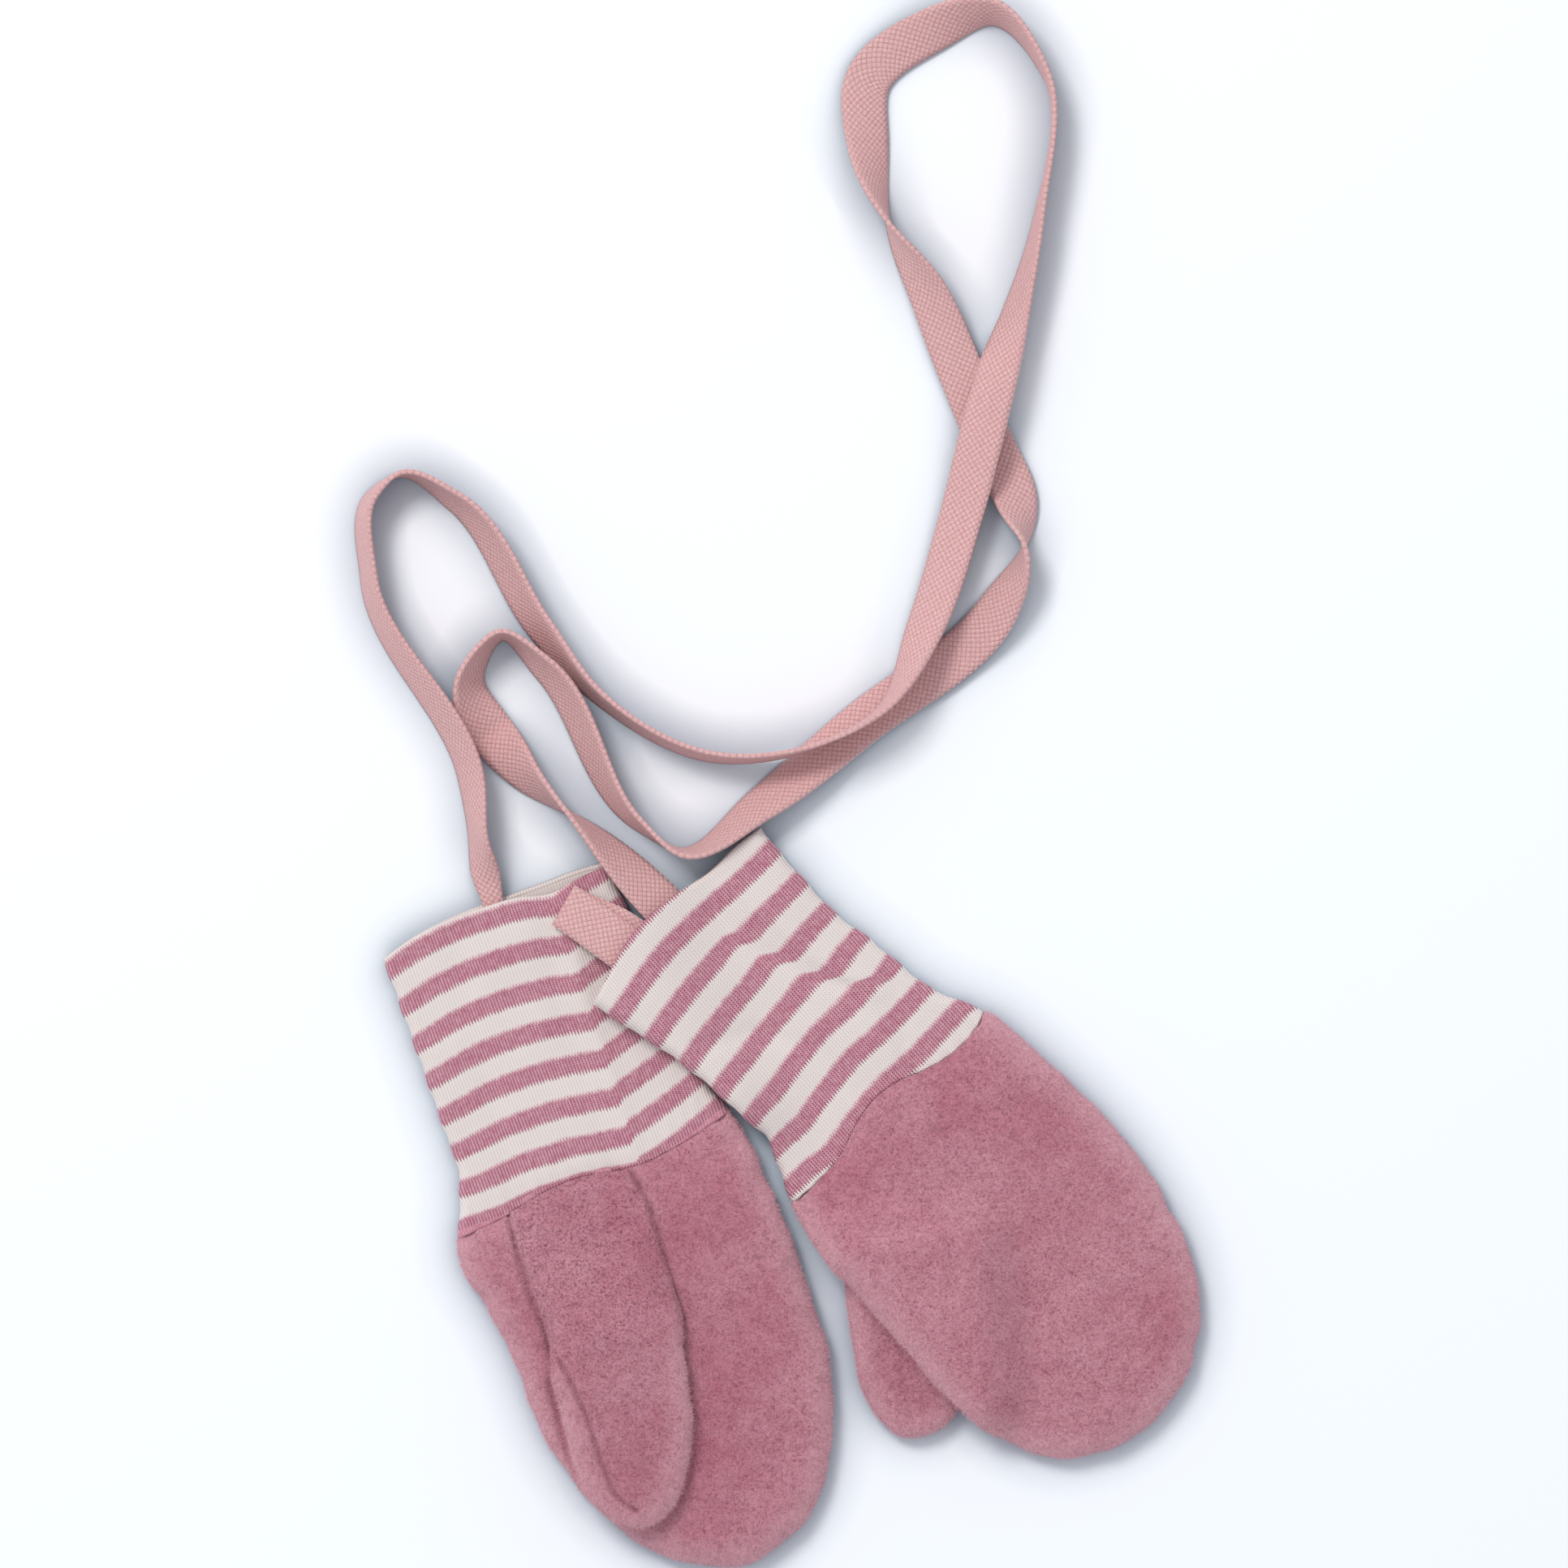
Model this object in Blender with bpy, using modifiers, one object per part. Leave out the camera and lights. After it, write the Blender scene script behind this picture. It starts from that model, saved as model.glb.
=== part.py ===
# A pair of baby's mittens laid out flat: fleece hands, striped double cuffs, and one flat
# tape that joins them. One mitten lies palm up, the other back up with its cuff on the
# first one's cuff. The surface is z = 0 and +Y is the far side, where the tape lies.
# Sizes below are in millimetres; the model is built in metres.

import math

import bmesh
import bpy
import numpy as np
from mathutils import Vector

MM = 0.001

# Cloth
FLEECE_WALL = 1.9
CUFF_WALL = 1.5
TAPE_WIDTH = 11.0
TAPE_THICK = 1.2
LOOP_THICK = 0.8
GAP = 0.3

# Heights of the hands, the cuffs and the thumbs, each a flattened tube
HAND_HEIGHT = 7.6
HAND_SEAM = 3.5
HAND_CROWN = 0.1
WRIST_DROP = 1.0
CUFF_HEIGHT = 6.0
CUFF_MOUTH_EXTRA = 0.9
THUMB_HEIGHT = 6.2

# How far in from an edge the cloth has rounded over to its flat
TOP_REACH = 5.6
BOTTOM_REACH = 3.6
THUMB_REACH = 2.7
CUFF_REACH = 3.0
SEAM_BAND = 0.8

# Stations
EDGE_STEPS = 3
THUMB_EDGE_STEPS = 2
MIDDLE_COLUMNS = 9
BODY_ROWS = 8
TIP_ROWS = 5
THUMB_TIP_ROWS = 3
CUFF_ROWS = 11
TAPE_STATIONS = 124
BLUNT = math.radians(80.0)


def table(names, *rows):
    """Columns of a table by name."""
    return {name: [row[i] for row in rows] for i, name in enumerate(names.split())}


# Each mitten lies along its own line, from the cuff's mouth to the finger tip. "along" is
# measured from the wrist seam, "right" and "left" are the widths each side of the line.
PALM_UP = {
    "name": "palm_up",
    "wrist": (-46.0, 4.5),
    "heading": -69.6,
    "sides": table(
        "along right left",
        (-72.0, 26.4, 31.2),
        (-63.0, 27.6, 31.2),
        (-43.0, 27.8, 31.4),
        (-22.0, 29.6, 31.8),
        (-13.0, 31.2, 32.0),
        (-6.0, 33.3, 34.2),
        (0.0, 35.0, 36.7),
        (6.0, 36.0, 38.7),
        (12.0, 36.3, 38.9),
        (20.0, 36.9, 36.9),
        (28.0, 37.1, 35.6),
        (36.0, 36.9, 35.2),
        (44.0, 36.8, 35.2),
    ),
    "tip": {"start": 44.0, "end": 99.2, "power": 2.0, "shift": 1.2},
    "mouth": table(
        "across top bottom",
        (-31.2, -66.9, -66.9),
        (-22.0, -69.3, -69.5),
        (-13.0, -70.2, -70.6),
        (-4.0, -70.1, -70.8),
        (4.0, -69.6, -70.8),
        (12.0, -67.7, -70.7),
        (19.0, -68.7, -70.8),
        (27.0, -69.2, -70.2),
    ),
    "seam": table(
        "across along",
        (-37.0, 2.2),
        (-27.0, 1.5),
        (-16.0, -0.8),
        (-6.0, -1.4),
        (4.0, 0.2),
        (10.0, 0.8),
        (18.0, 0.0),
        (27.0, -1.8),
        (34.0, -3.8),
    ),
}

BACK_UP = {
    "name": "back_up",
    "wrist": (21.8, 19.1),
    "heading": -47.9,
    "sides": table(
        "along right left",
        (-74.0, 24.6, 34.0),
        (-66.0, 23.6, 33.9),
        (-56.0, 23.4, 31.4),
        (-44.0, 23.6, 28.3),
        (-32.0, 25.8, 26.4),
        (-22.0, 27.2, 25.6),
        (-14.0, 28.8, 24.9),
        (-8.0, 31.8, 27.4),
        (0.0, 34.9, 30.5),
        (8.0, 36.6, 33.0),
        (20.0, 37.7, 34.1),
        (32.0, 38.4, 33.6),
        (45.0, 38.6, 34.0),
    ),
    "tip": {"start": 45.0, "end": 97.4, "power": 2.3, "shift": -4.6},
    "mouth": table(
        "across top bottom",
        (-34.2, -66.3, -66.3),
        (-25.3, -69.8, -69.8),
        (-16.3, -72.6, -72.6),
        (-7.8, -73.2, -73.2),
        (0.0, -72.5, -72.5),
        (8.0, -71.3, -71.3),
        (16.0, -71.7, -71.7),
        (24.6, -71.0, -71.0),
    ),
    "seam": table(
        "across along",
        (-31.2, 0.9),
        (-22.0, 1.1),
        (-14.0, 0.0),
        (-7.0, -2.7),
        (0.6, -4.4),
        (8.0, -3.7),
        (14.0, -1.6),
        (21.0, -0.1),
        (29.0, -0.5),
        (34.2, -2.2),
    ),
}

# The thumb that lies on the palm, in its mitten's own line: up to the crotch it is the
# gusset set into the palm, past it the thumb itself.
TOP_THUMB = {
    "wrist": PALM_UP["wrist"],
    "heading": PALM_UP["heading"],
    "sides": table(
        "along right left",
        (0.0, 7.0, 24.0),
        (12.0, 8.3, 25.3),
        (22.0, 7.8, 26.0),
        (34.0, 6.7, 26.2),
        (40.0, 5.4, 27.4),
        (50.0, 3.2, 29.0),
        (57.0, 1.2, 29.5),
    ),
    "tip": {"start": 57.0, "end": 81.7, "power": 2.0, "shift": -4.6},
}
GUSSET_END = 35.0
TOP_THUMB_BASE = HAND_HEIGHT + HAND_CROWN + GAP

# The thumb under the other mitten lies on the surface, turned outwards from the palm.
UNDER_THUMB = {
    "root": (21.9, -16.5),
    "turn": -36.0,
    "sides": table(
        "along right left",
        (8.0, 13.5, 13.4),
        (15.0, 13.6, 13.4),
        (30.0, 13.2, 12.8),
    ),
    "tip": {"start": 30.0, "end": 50.4, "power": 2.2, "shift": 0.6},
}

# How high the second mitten is carried by what lies under it, and how far past its edge
OVER_THUMB = THUMB_HEIGHT + 0.6
OVER_THUMB_FADE = (3.0, 18.0)
OVER_CUFF = CUFF_HEIGHT + 0.6
OVER_CUFF_FADE = (-1.0, 22.0)
OVER_CUFF_END = (-30.0, -5.0)

# The tape from cuff to cuff. "tilt" turns its section about its line: 0 and 180 lie flat,
# 90 stands on an edge. "rest" is the height of its lowest edge.
TAPE = table(
    "x y tilt rest width",
    (-70.6, 60.5, 180, 2.3, 5.0),
    (-72.3, 70.6, 176, 2.2, 5.0),
    (-75.1, 81.3, 120, 0.1, 10.5),
    (-77.6, 100.4, 123, 0.1, 11.0),
    (-102.0, 147.8, 110, 0.1, 11.0),
    (-101.4, 167.3, 104, 0.1, 11.0),
    (-94.5, 172.6, 89, 0.1, 11.0),
    (-81.1, 166.1, 68, 0.1, 11.0),
    (-60.5, 135.5, 58, 0.1, 11.0),
    (-47.8, 120.3, 75, 0.1, 11.0),
    (-19.1, 104.9, 81, 0.1, 11.0),
    (4.7, 107.4, 88, 3.2, 11.0),
    (21.1, 116.4, 98, 3.6, 11.0),
    (31.2, 135.3, 138, 1.6, 11.0),
    (40.2, 163.0, 154, 2.0, 11.0),
    (45.6, 184.5, 158, 4.4, 11.0),
    (48.7, 196.5, 150, 4.4, 11.0),
    (53.0, 211.0, 122, 1.0, 11.0),
    (58.5, 234.0, 98, 0.1, 11.0),
    (60.4, 268.1, 93, 0.1, 11.0),
    (47.6, 283.1, 116, 0.1, 11.0),
    (32.6, 278.9, 158, 0.1, 11.0),
    (17.7, 267.0, 172, 0.1, 11.0),
    (17.7, 252.5, 152, 0.1, 11.0),
    (22.2, 234.0, 95, 0.1, 11.0),
    (32.6, 215.3, 38, 0.1, 11.0),
    (39.0, 200.0, 16, 0.1, 11.0),
    (46.0, 182.9, 9, 0.1, 11.0),
    (53.4, 166.1, -26, 0.1, 11.0),
    (55.2, 156.0, -85, 0.1, 11.0),
    (49.1, 140.4, -150, 0.1, 11.0),
    (15.4, 112.1, -162, 0.1, 11.0),
    (-7.8, 93.6, -134, 0.1, 11.0),
    (-26.9, 82.1, -97, 0.1, 11.0),
    (-37.2, 88.9, -77, 0.1, 11.0),
    (-59.7, 126.0, -62, 0.1, 11.0),
    (-70.2, 134.2, -81, 0.1, 11.0),
    (-77.6, 124.0, -60, 0.1, 11.0),
    (-66.3, 102.8, 38, 0.1, 11.0),
    (-48.8, 87.0, 108, 0.1, 11.0),
    (-31.2, 69.0, 159, 4.2, 11.0),
    (-22.6, 60.2, 162, 3.6, 11.0),
)

# The loop: out of the cuff, round its fold, and back under itself. "height" is its centre.
LOOP = table(
    "x y height",
    (-36.6, 56.0, 10.35),
    (-40.6, 59.0, 10.3),
    (-48.0, 64.4, 9.2),
    (-53.4, 68.2, 8.1),
    (-54.9, 69.2, 7.5),
    (-53.4, 68.2, 6.95),
    (-47.4, 64.9, 7.9),
    (-42.5, 62.6, 8.9),
    (-39.1, 61.0, 9.2),
    (-36.4, 58.9, 9.3),
)
LOOP_STATIONS = 22

# Middle of the two mittens in the frame of these tables; the model is moved to have it at 0
MIDDLE = Vector((-0.75, -0.68, 0.0))

COLOURS = {
    "fleece": (0.50, 0.18, 0.26),
    "cuff": (0.62, 0.42, 0.46),
    "tape": (0.68, 0.36, 0.36),
}


def smooth_curve(xs, ys, x):
    """A smooth line through a table's rows, read at x."""
    xs, ys = np.asarray(xs, float), np.asarray(ys, float)
    x = np.clip(x, xs[0], xs[-1])
    slopes = np.gradient(ys, xs)
    i = np.clip(np.searchsorted(xs, x) - 1, 0, len(xs) - 2)
    step = xs[i + 1] - xs[i]
    f = (x - xs[i]) / step
    return (
        ys[i] * (1 + 2 * f) * (1 - f) ** 2
        + ys[i + 1] * f * f * (3 - 2 * f)
        + step * slopes[i] * f * (1 - f) ** 2
        - step * slopes[i + 1] * f * f * (1 - f)
    )


def fade(low, high, x):
    """0 up to low, 1 from high on, smooth between."""
    f = min(max((x - low) / (high - low), 0.0), 1.0)
    return f * f * (3 - 2 * f)


def side_lines(form, along):
    """Left and right edge of a form at a station, measured across its line."""
    rows, tip = form["sides"], form["tip"]
    right = float(smooth_curve(rows["along"], rows["right"], along))
    left = -float(smooth_curve(rows["along"], rows["left"], along))
    if along <= tip["start"]:
        return left, right
    f = min((along - tip["start"]) / (tip["end"] - tip["start"]), 1.0)
    middle = (left + right) / 2 + tip["shift"] * f
    half = (right - left) / 2 * (1 - f ** tip["power"]) ** (1 / tip["power"])
    return middle - half, middle + half


def tip_station(form, turn):
    """Where the tip's arc has turned by an angle, 0 at its start."""
    tip = form["tip"]
    return tip["start"] + (tip["end"] - tip["start"]) * math.sin(turn) ** (2 / tip["power"])


def tip_stations(form, count, reach, steps):
    """Stations from the tip's start to its short blunt end, closer where the edge rounds over."""
    tip = form["tip"]
    end = tip_station(form, BLUNT)
    share = (end - reach - tip["start"]) / (tip["end"] - tip["start"])
    last_turn = math.asin(share ** (tip["power"] / 2))
    body = [tip_station(form, last_turn * k / count) for k in range(count + 1)]
    return body + [end - reach * (1 - math.cos(a)) for a in edge_turns(steps)[-2::-1]] + [end]


def rows_to_tip(form, body, count, reach, steps=EDGE_STEPS):
    """Rows as stations, the last one doubled for the rim at the tip."""
    stations = list(body) + tip_stations(form, count, reach, steps)
    return [(station, False) for station in stations] + [(stations[-1], True)]


def edge_line(form):
    """The form's whole edge as points, from one side of the wrist round to the other."""
    first = form["sides"]["along"][0]
    body = list(np.linspace(first, form["tip"]["start"], 60, endpoint=False))
    stations = body + [tip_station(form, BLUNT * k / 60) for k in range(61)]
    lefts = [(s, side_lines(form, s)[0]) for s in stations]
    rights = [(s, side_lines(form, s)[1]) for s in stations]
    return np.array(lefts + rights[::-1])


def edge_distance(form, along, across):
    """How far a point is from the form's edge."""
    if "edge" not in form:
        form["edge"] = edge_line(form)
    start, end = form["edge"][:-1], form["edge"][1:]
    run = end - start
    point = np.array([along, across])
    length = np.maximum((run**2).sum(axis=1), 1e-12)
    f = np.clip(((point - start) * run).sum(axis=1) / length, 0, 1)
    return float(np.sqrt(((start + run * f[:, None] - point) ** 2).sum(axis=1)).min())


def outside(form, along, across):
    """How far a point is outside the form; less than 0 inside it."""
    first = form["sides"]["along"][0]
    left, right = side_lines(form, along)
    between = left < across < right
    if between and along <= first:
        return first - along
    distance = edge_distance(form, along, across)
    return -distance if between and along < form["tip"]["end"] else distance


def round_over(distance, reach):
    """0 at an edge, 1 from reach on, as a quarter of an ellipse."""
    f = min(max(distance / reach, 0.0), 1.0)
    return math.sqrt(1 - (1 - f) ** 2)


def to_world(form, along, across):
    angle = math.radians(form["heading"])
    x, y = form["wrist"]
    return (
        x + along * math.cos(angle) - across * math.sin(angle),
        y + along * math.sin(angle) + across * math.cos(angle),
    )


def to_form(form, x, y):
    angle = math.radians(form["heading"])
    dx, dy = x - form["wrist"][0], y - form["wrist"][1]
    return (
        dx * math.cos(angle) + dy * math.sin(angle),
        dy * math.cos(angle) - dx * math.sin(angle),
    )


def seam_line(form, across):
    return float(smooth_curve(form["seam"]["across"], form["seam"]["along"], across))


def lift(form, along, across):
    """How high the cloth's underside is carried by what lies under it."""
    if form is not BACK_UP:
        return 0.0
    x, y = to_world(form, along, across)
    s, t = to_form(PALM_UP, x, y)
    past_cuff = t - side_lines(PALM_UP, min(s, 20.0))[1]
    over_cuff = (1 - fade(*OVER_CUFF_FADE, past_cuff)) * (1 - fade(*OVER_CUFF_END, along))
    past_thumb = outside(UNDER_THUMB, *to_form(UNDER_THUMB, x, y))
    over_thumb = 1 - fade(*OVER_THUMB_FADE, past_thumb)
    return max(OVER_CUFF * over_cuff, OVER_THUMB * over_thumb)


# A column of a panel is where its points lie across the form: at a distance in from an edge,
# or a share of the way over the flat between the rounded edges.
def edge_turns(steps):
    return [math.pi / 2 * k / (steps + 1) for k in range(1, steps + 2)]


def edge_columns(edge, reach, steps=EDGE_STEPS):
    rounded = [(edge, reach * (1 - math.cos(a)), None) for a in edge_turns(steps)]
    return [(edge, 0.0, GAP / 2), (edge, 0.0, SEAM_BAND)] + rounded


def middle_columns(count):
    return [("middle", k / (count - 1), SEAM_BAND) for k in range(count)]


def panel_columns(reach, flat, count, steps=EDGE_STEPS):
    """Columns of a panel; where its flat starts further in than its reach, that is a column too."""
    middle = middle_columns(count)
    middle = middle if flat > reach else middle[1:-1]
    return edge_columns("left", reach, steps) + middle + edge_columns("right", reach, steps)[::-1]


def column_across(form, along, column, flat):
    """Across position of a column; the flat between the edges starts at flat from each."""
    kind, amount = column[:2]
    left, right = side_lines(form, along)
    squeeze = min(1.0, 0.44 * (right - left) / flat)
    if kind == "left":
        return left + amount * squeeze
    if kind == "right":
        return right - amount * squeeze
    low, high = left + flat * squeeze, right - flat * squeeze
    return low + amount * (high - low)


def rise(form, along, across, lip, height, reach):
    """Height above or below a form's seam at a point; lip is that of a point on the edge."""
    if lip is not None:
        return lip
    flat = height - SEAM_BAND
    return SEAM_BAND + flat * round_over(edge_distance(form, along, across), reach)


def lip_of(row, column):
    """The lip of a point on the panel's edge, or None away from the edge."""
    if row[1]:
        return GAP / 2
    return column[2] if column[0] != "middle" and column[1] == 0 else None


def hand_top(form, along, across, lip):
    height = rise(form, along, across, lip, HAND_HEIGHT - HAND_SEAM, TOP_REACH)
    share = fade(2.2, HAND_HEIGHT - HAND_SEAM, height)
    crown = HAND_CROWN * fade(TOP_REACH, 3 * TOP_REACH, edge_distance(form, along, across))
    drop = WRIST_DROP * share * (1 - fade(0, 14, along))
    return lift(form, along, across) + HAND_SEAM + height + crown - drop


def hand_bottom(form, along, across, lip):
    height = rise(form, along, across, lip, HAND_SEAM, BOTTOM_REACH)
    return lift(form, along, across) + HAND_SEAM - height


def grid_sheet(name, rows, columns, place, hole=None):
    """An open sheet from a grid; place(row, column) gives each point in millimetres."""
    bm = bmesh.new()
    last_row, last_column = len(rows) - 1, len(columns) - 1
    bmesh.ops.create_grid(bm, x_segments=last_row, y_segments=last_column, size=1)
    spots = {}
    for v in bm.verts:
        spots[v] = (round((v.co.x + 1) / 2 * last_row), round((v.co.y + 1) / 2 * last_column))
    if hole:
        inner = [f for f in bm.faces if all(hole(*spots[v]) for v in f.verts)]
        bmesh.ops.delete(bm, geom=inner, context="FACES")
    for v in bm.verts:
        i, j = spots[v]
        v.co = (Vector(place(rows[i], columns[j])) - MIDDLE) * MM
    bmesh.ops.remove_doubles(bm, verts=bm.verts, dist=1e-6)
    mesh = bpy.data.meshes.new(name)
    bm.to_mesh(mesh)
    bm.free()
    mesh.shade_smooth()
    return mesh


def add_cloth(name, mesh, thickness, colour, offset=-1, flip=False):
    """A sheet as a cloth wall of its own, its thickness inwards."""
    if flip:
        mesh.flip_normals()
    cloth = bpy.data.objects.new(name, mesh)
    mittens.objects.link(cloth)
    wall = cloth.modifiers.new("wall", "SOLIDIFY")
    wall.thickness = thickness * MM
    wall.offset = offset
    mesh.materials.append(cloth_material(colour))
    return cloth


def cloth_material(colour):
    material = bpy.data.materials.get(colour)
    if material:
        return material
    material = bpy.data.materials.new(colour)
    material.use_nodes = True
    shader = material.node_tree.nodes["Principled BSDF"]
    shader.inputs["Base Color"].default_value = (*COLOURS[colour], 1)
    shader.inputs["Roughness"].default_value = 0.95
    shader.inputs["Metallic"].default_value = 0.0
    return material


def settle(form, row_line, column):
    """Where a column meets a row that bends across the form, as along and across."""
    along = row_line(0)
    for _ in range(4):
        across = column_across(form, along, column, TOP_REACH)
        along = row_line(across)
    return along, across


def hand_row(form, nominal):
    """A hand's row starts along the curved wrist seam and straightens."""
    return lambda across: nominal + (seam_line(form, across) + GAP / 2) * (1 - fade(0, 20, nominal))


def hand_panel(form, name, reach, surface, flip):
    def place(row, column):
        along, across = settle(form, hand_row(form, row[0]), column)
        return (*to_world(form, along, across), surface(form, along, across, lip_of(row, column)))

    body = np.linspace(0, form["tip"]["start"], BODY_ROWS, endpoint=False)
    rows = rows_to_tip(form, body, TIP_ROWS, TOP_REACH)
    mesh = grid_sheet(name, rows, panel_columns(reach, TOP_REACH, MIDDLE_COLUMNS), place)
    return add_cloth(name, mesh, FLEECE_WALL, "fleece", flip=flip)


def notched_palm(form, thumb, name):
    """The palm that faces up, with a notch from the wrist for the thumb's gusset."""
    left_block = edge_columns("left", TOP_REACH)
    notch = [("notch", k / 5, None) for k in range(6)]
    beyond = [("beyond", (k + 1) / 4, None) for k in range(3)]
    columns = left_block + notch + beyond + edge_columns("right", TOP_REACH)[::-1]
    first, last = len(left_block), len(left_block) + len(notch) - 1
    notch_rows = [k * GUSSET_END / 6 for k in range(7)]
    rows = rows_to_tip(form, notch_rows, TIP_ROWS, TOP_REACH)
    notch_end = len(notch_rows) - 1

    def notch_shares(station):
        """The notch's edges as shares of the flat between the hand's rounded edges."""
        station = min(station, GUSSET_END)
        low, high = side_lines(thumb, station)
        left, right = side_lines(form, station)
        flat = right - left - 2 * TOP_REACH
        return (low - GAP / 2 - left - TOP_REACH) / flat, (high + GAP / 2 - left - TOP_REACH) / flat

    def place(row, column):
        kind, amount = column[:2]
        low, high = notch_shares(row[0])
        if kind == "notch":
            column = ("middle", low + amount * (high - low))
        if kind == "beyond":
            column = ("middle", high + amount * (1 - high))
        along, across = settle(form, hand_row(form, row[0]), column)
        return (*to_world(form, along, across), hand_top(form, along, across, lip_of(row, column)))

    def in_notch(i, j):
        return i <= notch_end and first <= j <= last

    mesh = grid_sheet(name, rows, columns, place, hole=in_notch)
    return add_cloth(name, mesh, FLEECE_WALL, "fleece")


def gusset_thumb_front(form, thumb, name):
    """The gusset in the palm's notch, which rises and goes on as the thumb's outer half."""
    middle = TOP_THUMB_BASE + THUMB_HEIGHT / 2
    body = np.linspace(0, thumb["tip"]["start"], 12, endpoint=False)
    rows = rows_to_tip(thumb, body, THUMB_TIP_ROWS, THUMB_REACH, THUMB_EDGE_STEPS)
    columns = panel_columns(THUMB_REACH, THUMB_REACH, 6, THUMB_EDGE_STEPS)

    def place(row, column):
        across = column_across(thumb, row[0], column, THUMB_REACH)
        along = row[0] + (seam_line(form, across) + GAP / 2) * (1 - fade(0, 20, row[0]))
        lip = lip_of(row, column)
        inset = GAP / 2 * (1 - fade(GUSSET_END, GUSSET_END + 8, along))
        if lip == SEAM_BAND:
            across += inset if column[0] == "left" else -inset
        flush = hand_top(form, along, across, None)
        raised = middle + rise(thumb, along, across, lip, THUMB_HEIGHT / 2, THUMB_REACH)
        edge = fade(0, 7, edge_distance(thumb, along, across))
        up = edge * fade(12, 36, along) + (1 - edge) * fade(24, 38, along)
        return (*to_world(thumb, along, across), flush + up * (raised - flush))

    mesh = grid_sheet(name, rows, columns, place)
    return add_cloth(name, mesh, FLEECE_WALL, "fleece")


def thumb_half(thumb, name, base, start, top):
    """One half of a thumb: its upper or its lower side, open at the palm."""
    middle = base + THUMB_HEIGHT / 2
    body = np.linspace(start, thumb["tip"]["start"], 4, endpoint=False)
    rows = rows_to_tip(thumb, body, THUMB_TIP_ROWS, THUMB_REACH, THUMB_EDGE_STEPS)
    way = 1 if top else -1

    def place(row, column):
        across = column_across(thumb, row[0], column, THUMB_REACH)
        height = rise(thumb, row[0], across, lip_of(row, column), THUMB_HEIGHT / 2, THUMB_REACH)
        return (*to_world(thumb, row[0], across), middle + way * height)

    columns = panel_columns(THUMB_REACH, THUMB_REACH, 5, THUMB_EDGE_STEPS)
    mesh = grid_sheet(name, rows, columns, place)
    return add_cloth(name, mesh, FLEECE_WALL, "fleece", flip=not top)


def cuff_tube(form, name, mouth_extra):
    """The cuff: one flattened tube from its mouth to the wrist seam."""
    left_side = edge_columns("left", CUFF_REACH)[1:]
    right_side = edge_columns("right", CUFF_REACH)[:0:-1]
    half_round = left_side + middle_columns(MIDDLE_COLUMNS) + right_side
    around = [(column, 1) for column in half_round] + [(column, -1) for column in half_round[-2:0:-1]]
    rows = np.linspace(0, 1, CUFF_ROWS)

    def place(row, spot):
        column, way = spot
        on_edge = column[0] != "middle" and column[1] == 0
        ends = form["mouth"]["top" if way > 0 or on_edge else "bottom"]

        def row_line(across):
            mouth = float(smooth_curve(form["mouth"]["across"], ends, across))
            return mouth + row * (seam_line(form, across) - GAP / 2 - mouth)

        along, across = settle(form, row_line, column)
        height = CUFF_HEIGHT + mouth_extra * (1 - fade(-66, -40, along))
        left, right = side_lines(form, along)
        half = height / 2 * round_over(min(across - left, right - across), CUFF_REACH)
        return (*to_world(form, along, across), lift(form, along, across) + height / 2 + way * half)

    mesh = grid_sheet(name, rows, around + around[:1], place)
    return add_cloth(name, mesh, CUFF_WALL, "cuff")


def ribbon(name, points, across_each, thickness):
    """A flat band: points are its middle, across_each half its width at each point."""
    def place(row, column):
        return points[row] + across_each[row] * column

    mesh = grid_sheet(name, range(len(points)), (-1, 1), place)
    return add_cloth(name, mesh, thickness, "tape", offset=0)


def tape():
    way = np.hypot(np.diff(TAPE["x"]), np.diff(TAPE["y"]))
    way = np.concatenate([[0], np.cumsum(way)])
    at = np.linspace(0, way[-1], TAPE_STATIONS)
    x, y, tilt, rest, width = (smooth_curve(way, TAPE[name], at) for name in TAPE)
    run = np.stack([np.gradient(x), np.gradient(y)], axis=1)
    run /= np.linalg.norm(run, axis=1)[:, None]
    turn = np.radians(tilt)
    rest = np.maximum(rest, 0.1)
    flat = np.cos(turn) * width / 2
    up = np.sin(turn) * width / 2
    half = np.stack([-run[:, 1] * flat, run[:, 0] * flat, up], axis=1)
    z = rest + np.abs(up) + TAPE_THICK / 2 * np.abs(np.cos(turn))
    return ribbon("tape", np.stack([x, y, z], axis=1), half, TAPE_THICK)


def tape_loop():
    way = np.sqrt(np.diff(LOOP["x"]) ** 2 + np.diff(LOOP["y"]) ** 2 + np.diff(LOOP["height"]) ** 2)
    way = np.concatenate([[0], np.cumsum(way)])
    at = np.linspace(0, way[-1], LOOP_STATIONS)
    x, y, z = (smooth_curve(way, LOOP[name], at) for name in LOOP)
    # The band turns a little from the run out to the run back
    heading = np.linspace(math.radians(53.5), math.radians(67.0), LOOP_STATIONS)
    half = np.stack([np.cos(heading), np.sin(heading), 0 * heading], axis=1) * TAPE_WIDTH / 2
    return ribbon("tape_loop", np.stack([x, y, z], axis=1), half, LOOP_THICK)


for old in list(bpy.data.objects):
    bpy.data.objects.remove(old)
mittens = bpy.data.collections.new("baby_mittens")
bpy.context.scene.collection.children.link(mittens)

turned_root = to_world(BACK_UP, *UNDER_THUMB["root"])
UNDER_THUMB["wrist"] = turned_root
UNDER_THUMB["heading"] = BACK_UP["heading"] + UNDER_THUMB["turn"]

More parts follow.
